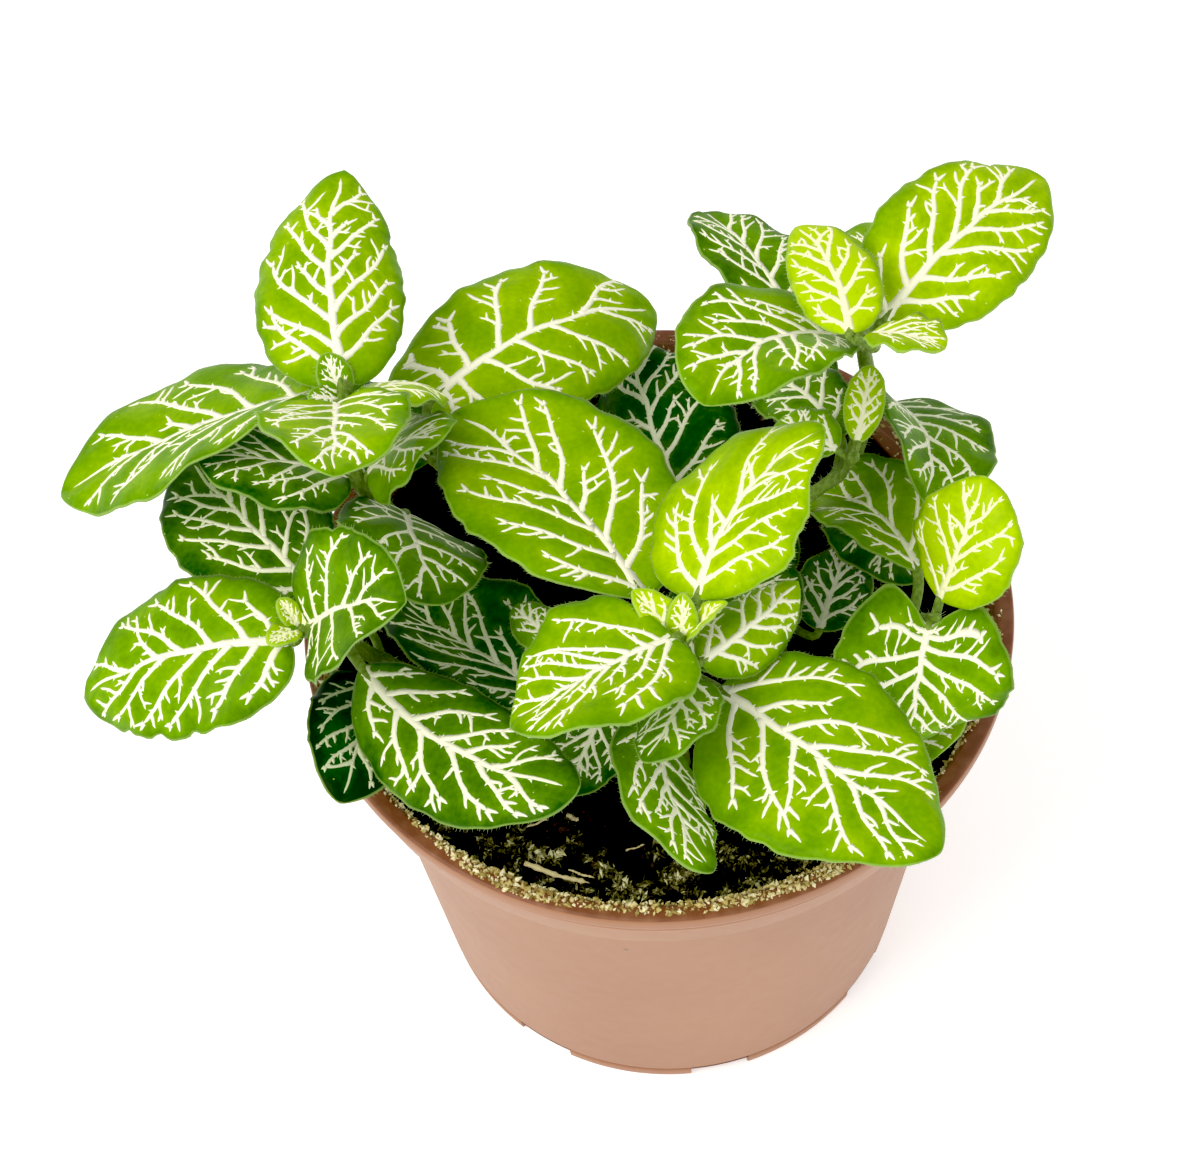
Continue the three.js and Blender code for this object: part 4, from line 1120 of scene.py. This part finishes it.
# %% The pot's finish
def pot_finish():
    """Moulded polypropylene in a terracotta colour: an even satin skin with a few dark specks, a painted
    shade of brown along the top of the lip, and painted highlights as two pale rings at and under the
    lip."""
    made, tree, skin = new_finish("moulded terracotta-coloured plastic")
    place = add(tree, "TexCoord").outputs["Object"]
    apart = add(tree, "SeparateXYZ", {0: place})
    cloud = add(tree, "TexNoise", {"Vector": place, "Scale": 1 / (30 * MM), "Detail": 1.0})
    plain = add(tree, "ValToRGB", {"Fac": cloud.outputs["Fac"]}, stops=POT_TONES)
    wear_and_shade_noise = add(tree, "TexNoise", {"Vector": place, "Scale": 1 / (2.2 * MM), "Detail": 4.0})
    # Painted shade: the top of the lip is mixed in patches towards a dark brown line. The same noise also
    # varies the roughness.
    low, high = ((POT_HEIGHT - depth) * MM for depth in PAINTED_LIP_SHADE_DEPTHS)
    lip = add(tree, "MapRange", {0: apart.outputs["Z"], 1: low, 2: high, 3: 0.0, 4: 0.95})
    patchy = add(tree, "MapRange", {0: wear_and_shade_noise.outputs["Fac"], 1: 0.35, 2: 0.6, 3: 0.6, 4: 1.0})
    painted_lip_shade_mask = add(tree, "Math", {0: lip.outputs[0], 1: patchy.outputs[0]}, operation="MULTIPLY")
    colour = add(tree, "Mix", {0: painted_lip_shade_mask.outputs[0], 6: plain.outputs["Color"], 7: linear(PAINTED_LIP_SHADE)},
                 data_type="RGBA")
    specks = add(tree, "TexVoronoi", {"Vector": place, "Scale": 1 / (9 * MM)})
    speck = add(tree, "MapRange", {0: specks.outputs["Distance"], 1: 0.035, 2: 0.05, 3: 0.6, 4: 0.0})
    dusty = add(tree, "Mix", {0: speck.outputs[0], 6: colour.outputs[2], 7: linear(POT_SPECK)},
                data_type="RGBA")
    with_highlights = dusty.outputs[2]
    # Painted highlights: two thin pale rings round the pot, at the lip's lower edge and under it.
    for level in HIGHLIGHT_RING_HEIGHTS:
        line = add(tree, "Math", {0: apart.outputs["Z"], 1: level * MM, 2: HIGHLIGHT_RING_HALF_WIDTH * MM},
                   operation="COMPARE")
        faint = add(tree, "Math", {0: line.outputs[0], 1: 0.3}, operation="MULTIPLY")
        with_highlights = add(tree, "Mix", {0: faint.outputs[0], 6: with_highlights, 7: linear(PAINTED_EDGE_HIGHLIGHT)},
                    data_type="RGBA").outputs[2]
    rough = add(tree, "MapRange", {0: wear_and_shade_noise.outputs["Fac"], 1: 0.3, 2: 0.7, 3: 0.44, 4: 0.48})
    plug(tree, skin, {"Base Color": with_highlights, "Roughness": rough.outputs[0], "IOR": 1.49,
                      "Specular IOR Level": 0.4})
    return made


POT_TONES = ((0.3, "#9e6f51"), (0.7, "#a67757"))
PAINTED_LIP_SHADE = "#7a4526"
PAINTED_LIP_SHADE_DEPTHS = (0.24, 0.14)  # mm under the lip's top at which the painted shade begins and is full
POT_SPECK = "#6b4a38"
PAINTED_EDGE_HIGHLIGHT = "#d9b49c"
HIGHLIGHT_RING_HEIGHTS = (67.9, 66.3)  # heights of the painted highlight rings: the lip's lower edge and the ring under it, in mm
HIGHLIGHT_RING_HALF_WIDTH = 0.14

# %% The pot
def pot_angles():
    """Even steps round the pot, with two angles close together at each edge of each gap."""
    edges = (GAP_MIDDLES[:, None] + GAP_HALF_ANGLE * np.array([-1.001, -0.999, 0.999, 1.001])).ravel()
    even = np.linspace(0, 2 * np.pi, 240, endpoint=False)
    return np.sort(np.concatenate([even, edges % (2 * np.pi)]))


def drill(thing, sides=24):
    """Drains through the floor: a round rod for each, which is two rings, is cut from the pot."""
    angles = np.radians(DRAIN_FIRST + 360 / DRAINS * np.arange(DRAINS))
    round_rod = np.linspace(0, -2 * np.pi, sides, endpoint=False)
    x = DRAIN_RING * np.cos(angles)[:, None] + DRAIN_RADIUS * np.cos(round_rod)
    y = DRAIN_RING * np.sin(angles)[:, None] + DRAIN_RADIUS * np.sin(round_rod)
    levels = np.array([CHANNEL_HEIGHT - 1, CHANNEL_HEIGHT + FLOOR + 1])[None, :, None]
    x, y, z = np.broadcast_arrays(x[:, None], y[:, None], levels)
    rods = lofted(np.stack([x, y, z], axis=-1))
    mesh = bpy.data.meshes.new("drains")
    mesh.from_pydata((rods["points"] * MM).tolist(), [], rods["faces"])
    cutter = into_scene("drains", mesh)
    cut = thing.modifiers.new("drains", "BOOLEAN")
    cut.operation, cut.object, cut.solver = "DIFFERENCE", cutter, "EXACT"
    whole = thing.evaluated_get(bpy.context.evaluated_depsgraph_get())
    finished = bpy.data.meshes.new_from_object(whole)
    thing.modifiers.clear()
    thing.data = finished
    bpy.data.objects.remove(cutter)


shell = turned(pot_profile(), pot_angles(), lift_gaps)
pot = piece("nursery_pot", [shell], [pot_finish()], "pot", "pot", weld=True)
drill(pot)
print("pot:", len(pot.data.polygons), "faces")

# %% [markdown]
# ## The peat and what lies on it
#
# Wet peat is almost black and drinks the light. Its surface is crumbs on crumbs: a bumpy bed, a
# few thousand loose crumbs, cushions of dry moss towards the front, and a crust of lime and algae
# where the peat dries along the wall. A crumb is a lump of twenty faces, and a moss leaflet or a
# grain of crust has eight. Each corner is moved in or out at random, and at half a millimetre
# nothing finer shows.

# %% The bed of peat
SOIL_GAP = 0.3  # mm between the root ball and the pot
SOIL_RADIUS = BAND_FOOT - WALL - SOIL_GAP
SOIL_BUMP = 0.7


def soil_height(x, y):
    """The bed's height: the model's two slow waves, and it sinks by 0.8 mm in the last 4 mm."""
    broad = np.sin(x / 4.3 + 1) * np.cos(y / 5.1)
    fine = 0.6 * np.sin(x / 2.3 - y / 2.9)
    sunk = 0.8 * smooth_step((np.hypot(x, y) - SOIL_RADIUS + 4) / 4)
    return SOIL_LEVEL + SOIL_BUMP * (broad + fine) - sunk


def ripples(x, y, size, rng, count=14):
    """Rough ground: the mean of many sine waves of about one size, in directions drawn at random."""
    turn = rng.uniform(0, 2 * np.pi, (count, 1, 1))
    number = 2 * np.pi / (size * rng.uniform(0.6, 1.6, (count, 1, 1)))
    phase = rng.uniform(0, 2 * np.pi, (count, 1, 1))
    return np.sin(number * (x * np.cos(turn) + y * np.sin(turn)) + phase).mean(axis=0)


def soil_bed(rng):
    """The root ball: sides as the pot's inside, and a bumpy top in rings half a millimetre apart."""
    floor_top, shoulder, gap = CHANNEL_HEIGHT + FLOOR, POT_HEIGHT - BAND_HEIGHT + WALL, SOIL_GAP
    sides = [
        (0, FLOOR + gap), (CHANNEL_IN - 1.8, FLOOR + gap), (CHANNEL_IN - 1.4, floor_top + gap),
        (inner_wall(floor_top) - gap, floor_top + gap), (WALL_TOP_RADIUS - WALL - gap, shoulder),
        (SOIL_RADIUS, shoulder + gap),
    ]
    rings = [(radius, SOIL_LEVEL) for radius in np.linspace(SOIL_RADIUS, 0, 84)]

    def lift(radius, z, angles):
        x, y = radius * np.cos(angles), radius * np.sin(angles)
        rough = 0.9 * ripples(x, y, 4.0, rng) + 0.6 * ripples(x, y, 1.4, rng)
        return np.where(z >= SOIL_LEVEL, soil_height(x, y) + rough - 0.25, z + 0 * x)

    return turned(np.array(sides + rings, float), np.linspace(0, 2 * np.pi, 220, endpoint=False), lift)


# %% Crumbs, moss and crust
CRUMBS = 3600
TUFTS, LEAFLETS = 8, 8200  # the tufts in each heap of moss, and the leaflets in all
GRAINS = (7600, 2200)  # of crust along the front of the wall, and along the rest of it


def lump():
    """The twelve corners and twenty faces of an icosahedron of radius 1."""
    made = bmesh.new()
    bmesh.ops.create_icosphere(made, subdivisions=1, radius=1)
    corners = np.array([vert.co[:] for vert in made.verts])
    faces = np.array([[vert.index for vert in face.verts] for face in made.faces])
    made.free()
    return corners, faces


def grain():
    """The six corners and eight faces of an octahedron of radius 1: two pyramids base to base."""
    corners = np.array([(1, 0, 0), (-1, 0, 0), (0, 1, 0), (0, -1, 0), (0, 0, 1), (0, 0, -1)], float)
    round_top = [(0, 2, 4), (2, 1, 4), (1, 3, 4), (3, 0, 4)]
    return corners, np.array(round_top + [(b, a, 5) for a, b, _ in round_top])


def strewn(shape, places, sizes, stretch, rng, shades):
    """The shape at each place: its corners times 0.6 to 1.3 at random, stretched, turned and sized."""
    corners, faces = shape
    count = len(places)
    shaped = corners * rng.uniform(0.6, 1.3, (count, len(corners), 1)) * stretch
    axes, _ = np.linalg.qr(rng.standard_normal((count, 3, 3)))
    axes *= np.sign(np.linalg.det(axes))[:, None, None]
    points = np.einsum("nij,nkj->nki", axes, shaped) * sizes[:, None, None] + places[:, None]
    numbers = faces[None] + len(corners) * np.arange(count)[:, None, None]
    return {
        "points": points.reshape(-1, 3),
        "faces": numbers.reshape(-1, 3).tolist(),
        "look": 0,
        "values": {"shade": np.repeat(shades, len(corners))},
    }


def flat_place(radius, degrees):
    """x and y at a radius and a compass angle: the radius times the angle's cosine and sine."""
    return radius * np.cos(np.radians(degrees)), radius * np.sin(np.radians(degrees))


def lump_sizes(middle, spread, count, rng):
    """The radii of lumps: half a diameter, which is e to the power of a number drawn round middle."""
    return 0.5 * np.exp(rng.normal(middle, spread, count))


def on_soil(radius, degrees, sink=0.0):
    """Places on the bed from a radius and a compass angle, sunk into it by sink."""
    x, y = flat_place(radius, degrees)
    return np.stack([x, y, soil_height(x, y) - sink], axis=-1)


def peat_crumbs(rng):
    """Peat crumbs all over the bed, evenly over its area, in browns and black."""
    sizes = lump_sizes(-0.75, 0.42, CRUMBS, rng)
    radius = SOIL_RADIUS * rng.uniform(0, 1, CRUMBS) ** 0.5 * 0.985
    places = on_soil(radius, rng.uniform(0, 360, CRUMBS), 0.1)
    return strewn(lump(), places, sizes, (1, 1, 0.8), rng, rng.uniform(0, 1, CRUMBS) ** 2)


MOSS_HEAPS = (  # radius, compass angle, spread, height
    (34.9, -115, 1.9, 3.2), (35.5, -103, 2.2, 2.2), (33, -111, 1.1, 0.8), (29.9, -113, 0.7, 0.7),
    (37.7, -86, 2.6, 2.0), (38.3, -73, 2.6, 2.0), (39.8, -116, 2.2, 1.2), (39.4, -95, 2.6, 1.6),
    (38.6, -125, 1.8, 1.2), (39.6, -134, 1.6, 1.0), (38.8, -145, 1.8, 0.9), (34.6, -79, 2.0, 1.0),
    (39.4, -62, 2.2, 1.2), (36.0, -66, 1.8, 0.9), (38.0, -52, 1.8, 0.9), (39.0, -40, 1.8, 1.0),
    (38.8, -22, 2.0, 1.0), (38.6, -6, 2.0, 0.9), (39.0, 8, 2.0, 0.9), (33.4, -94, 1.2, 0.9),
    (31, -87, 1.3, 0.6), (36.6, -121, 1.8, 1.4), (37.4, -99, 2.2, 2.4), (38.8, -107, 1.8, 1.2),
    (40.0, -80, 1.8, 1.6), (36.2, -90, 1.8, 1.8), (38.0, 128, 2.4, 1.0), (38.2, 60, 2.4, 1.0),
    (38.4, 176, 2.2, 1.0),
)


def moss(rng):
    """Dry moss in heaps, most of them at the front. A heap is eight small tufts round its middle, and
    a leaflet lies near its own tuft's middle and lower the farther out it is."""
    radius, degrees, spread, height = np.repeat(np.array(MOSS_HEAPS), TUFTS, axis=0).T
    shift = rng.standard_normal((2, len(radius))) * spread * 0.5
    radius, degrees = radius + shift[0], degrees + np.degrees(shift[1] / radius)
    spread = spread * rng.uniform(0.2, 0.5, len(radius))
    height = height * rng.uniform(0.2, 1, len(radius))
    which = rng.choice(len(radius), LEAFLETS, p=spread**2 / (spread**2).sum())
    offset = rng.standard_normal((2, len(which))) * spread[which] * 0.5
    share = np.maximum(0, 1 - np.hypot(*offset) / spread[which] / 1.5)
    high = share * height[which] * rng.uniform(0.1, 1, len(which))
    places = on_soil(radius[which] + offset[0], degrees[which] + np.degrees(offset[1] / radius[which]))
    places[:, 2] += high
    inside = np.hypot(places[:, 0], places[:, 1]) < SOIL_RADIUS - SOIL_GAP
    places, high = places[inside], high[inside]
    sizes = np.minimum(lump_sizes(-0.4, 0.35, len(places), rng), 0.55)
    # Painted light and shade: leaflets high on a heap are paler, as lit tips, and low ones darker, as
    # shade among them, with a random part added.
    shade = np.clip(0.1 + 0.42 * high + rng.normal(0, 0.3, len(places)), 0, 1)
    return strewn(grain(), places, sizes, (1.7, 0.7, 0.4), rng, shade)


def crust(rng):
    """Pale lime crust stuck along the inside of the wall and onto the lip, most of it at the front.
    thick, from two sines and two bell curves of the angle, is the chance that a grain stays. climb
    runs up the wall from 0 to 1, and on over the flat of the lip."""
    degrees = np.concatenate([rng.uniform(-150, -20, GRAINS[0]), rng.uniform(-20, 210, GRAINS[1])])
    thick = 0.36 + 0.26 * np.sin(np.radians(3.1 * degrees + 20)) * np.sin(np.radians(7.3 * degrees))
    thick += 0.55 * np.exp(-(((degrees + 113) / 12) ** 2)) + 0.5 * np.exp(-(((degrees + 66) / 10) ** 2))
    climb = rng.uniform(0, 1, len(degrees)) * (1.0 + 0.65 * thick)
    keep = rng.uniform(0, 1, len(degrees)) < thick
    degrees, climb = degrees[keep], climb[keep]
    wall = SOIL_RADIUS + SOIL_GAP + 0.9 * np.minimum(climb, 1)
    edge = RIM_RADIUS - rng.uniform(0.6, 1.1, len(climb))
    radius = np.where(climb < 1, wall - 0.15, np.minimum(wall + 4.0 * (climb - 1), edge))
    z = np.where(climb < 1, SOIL_LEVEL - 0.6 + 5.6 * climb, POT_HEIGHT + 0.05)
    places = np.stack([*flat_place(radius, degrees), z], axis=-1)
    sizes = np.minimum(lump_sizes(-0.75, 0.42, len(places), rng), 0.5)
    return strewn(grain(), places, sizes, (1.3, 1.0, 0.7), rng, rng.uniform(0, 1, len(places)))


STRAWS = (  # start, end, each as radius, compass angle and height over the peat, then half the width
    (38.7, -116.8, 1.9, 38.5, -104.6, 1.2, 0.34), (37.4, -109, 1.3, 37.6, -104, 1.0, 0.14),
    (29.9, -114, 0.5, 30.2, -111, 0.6, 0.3), (33, -99, 0.5, 32, -95, 0.5, 0.12),
    (24, -80, 0.4, 26, -86, 0.4, 0.15), (35, -60, 0.6, 33, -66, 0.5, 0.2),
    (31.4, -118, 0.5, 33.5, -121, 0.4, 0.14),
)


def straw(rng):
    """A broken straw across the peat at the front, and a few short ones: uneven bent tubes."""
    parts = []
    for r0, a0, z0, r1, a1, z1, thick in STRAWS:
        share = np.linspace(0, 1, 18)
        flat = flat_place(r0 + (r1 - r0) * share, a0 + (a1 - a0) * share)
        height = SOIL_LEVEL + z0 + (z1 - z0) * share + 0.12 * np.sin(9 * share)
        path = np.stack([*flat, height], axis=-1)
        widths = thick * (1 + 0.22 * rng.standard_normal(18)) * np.minimum(1, 6 * (1 - share) + 0.3)
        parts.append(tube(path, widths, 0.75 * widths, sides=8))
    return parts


# %% Soil finishes
def crumb_finish(name, tones, roughness):
    """A dull crumbly stuff, whose pieces take their colour from the value shade along a ramp."""
    made, tree, skin = new_finish(name)
    place = add(tree, "TexCoord").outputs["Object"]
    shade = add(tree, "Attribute", attribute_name="shade").outputs["Fac"]
    grit = add(tree, "TexNoise", {"Vector": place, "Scale": 1 / (0.6 * MM), "Detail": 4.0})
    spread = add(tree, "MapRange", {0: grit.outputs["Fac"], 1: 0.3, 2: 0.7, 3: -0.25, 4: 0.25})
    mixed = add(tree, "Math", {0: shade, 1: spread.outputs[0]}, operation="ADD")
    colour = add(tree, "ValToRGB", {"Fac": mixed.outputs[0]}, stops=tones)
    bump = add(tree, "Bump", {"Height": grit.outputs["Fac"], "Strength": 0.6, "Distance": 0.2 * MM})
    plug(tree, skin, {"Base Color": colour.outputs["Color"], "Normal": bump.outputs["Normal"],
                      "Roughness": roughness, "Specular IOR Level": 0.2})
    return made


PEAT_TONES = ((0.0, "#070605"), (0.5, "#120e0b"), (1.0, "#241a13"))
CRUMB_TONES = ((0.0, "#0b0908"), (0.6, "#2a1f16"), (1.0, "#5a4330"))
MOSS_TONES = ((0.0, "#1c1a0c"), (0.35, "#4d4b24"), (0.7, "#9a9458"), (1.0, "#ebe6b8"))
CRUST_TONES = ((0.0, "#86703a"), (0.45, "#cbb873"), (1.0, "#f7efc9"))
STRAW_TONES = ((0.0, "#dccb9a"), (1.0, "#fff8dc"))

# %% The soil
SOIL_SEED = 4242
rng = np.random.default_rng(SOIL_SEED)
bed = piece("peat_bed", [soil_bed(rng)], [crumb_finish("moist black peat", PEAT_TONES, 0.9)],
            "soil", "soil", weld=True)
print("bed:", len(bed.data.polygons), "faces")
for name, stuff, tones, roughness, parts in (
    ("peat_crumbs", "peat crumb", CRUMB_TONES, 0.9, [peat_crumbs(rng)]),
    ("moss_cushions", "dry moss", MOSS_TONES, 0.95, [moss(rng)]),
    ("lime_crust", "lime crust", CRUST_TONES, 0.9, [crust(rng)]),
    ("straws", "weathered straw", STRAW_TONES, 0.7, straw(rng)),
):
    made = piece(name, parts, [crumb_finish(stuff, tones, roughness)], "soil", smooth=name == "straws")
    print(name, len(made.data.polygons), "faces")

# %% [markdown]
# ## Floor and light
#
# The plant stands on a plain white floor under soft light from above and from the left, which
# leaves a faint shadow on its right. The white world fills the shade, and two large lamps give the
# leaves their sheen.

# %% Floor and light
FLOOR_REACH = 1.5  # metres from the middle to each edge
AIM_MM = (0, 0, 80)  # where the lamps point: the middle of the leaves
BLACK, WHITE = 0.012, 0.9  # levels: what is darker is shown black, and what is lighter white


def stage_floor():
    """A wide white floor, as matt paper."""
    mesh = bpy.data.meshes.new("floor")
    corners = [(x * FLOOR_REACH, y * FLOOR_REACH, 0) for x, y in ((-1, -1), (1, -1), (1, 1), (-1, 1))]
    mesh.from_pydata(corners, [], [(0, 1, 2, 3)])
    made, tree, skin = new_finish("white paper")
    plug(tree, skin, {"Base Color": (0.93, 0.93, 0.92, 1), "Emission Color": (1, 1, 1, 1),
                      "Emission Strength": 0.35, "Roughness": 0.9, "Specular IOR Level": 0.1})
    mesh.materials.append(made)
    into_scene("floor", mesh)


def lamp(name, place_mm, size_mm, watts, colour):
    """A square soft lamp that points at the plant."""
    light = bpy.data.lights.new(name, "AREA")
    light.size = size_mm * MM
    light.energy = watts
    light.color = linear(colour)[:3]
    made = into_scene(name, light)
    place = Vector(place_mm) * MM
    made.location = place
    made.rotation_euler = (Vector(AIM_MM) * MM - place).to_track_quat("-Z", "Y").to_euler()


stage_floor()
lamp("window", (-330, -200, 620), 420, 2.6, "#fffaf2")
lamp("fill", (380, -500, 420), 500, 0.8, "#f4f8ff")
world = bpy.data.worlds.new("white room")
world.use_nodes = True
background = world.node_tree.nodes["Background"]
plug(world.node_tree, background, {"Color": (1.0, 1.0, 1.0, 1), "Strength": 0.62})
bpy.context.scene.world = world
view = bpy.context.scene.view_settings
view.view_transform = "Standard"
view.look = "None"
view.use_curve_mapping = True
view.curve_mapping.black_level = (BLACK, BLACK, BLACK)
view.curve_mapping.white_level = (WHITE, WHITE, WHITE)
view.curve_mapping.update()
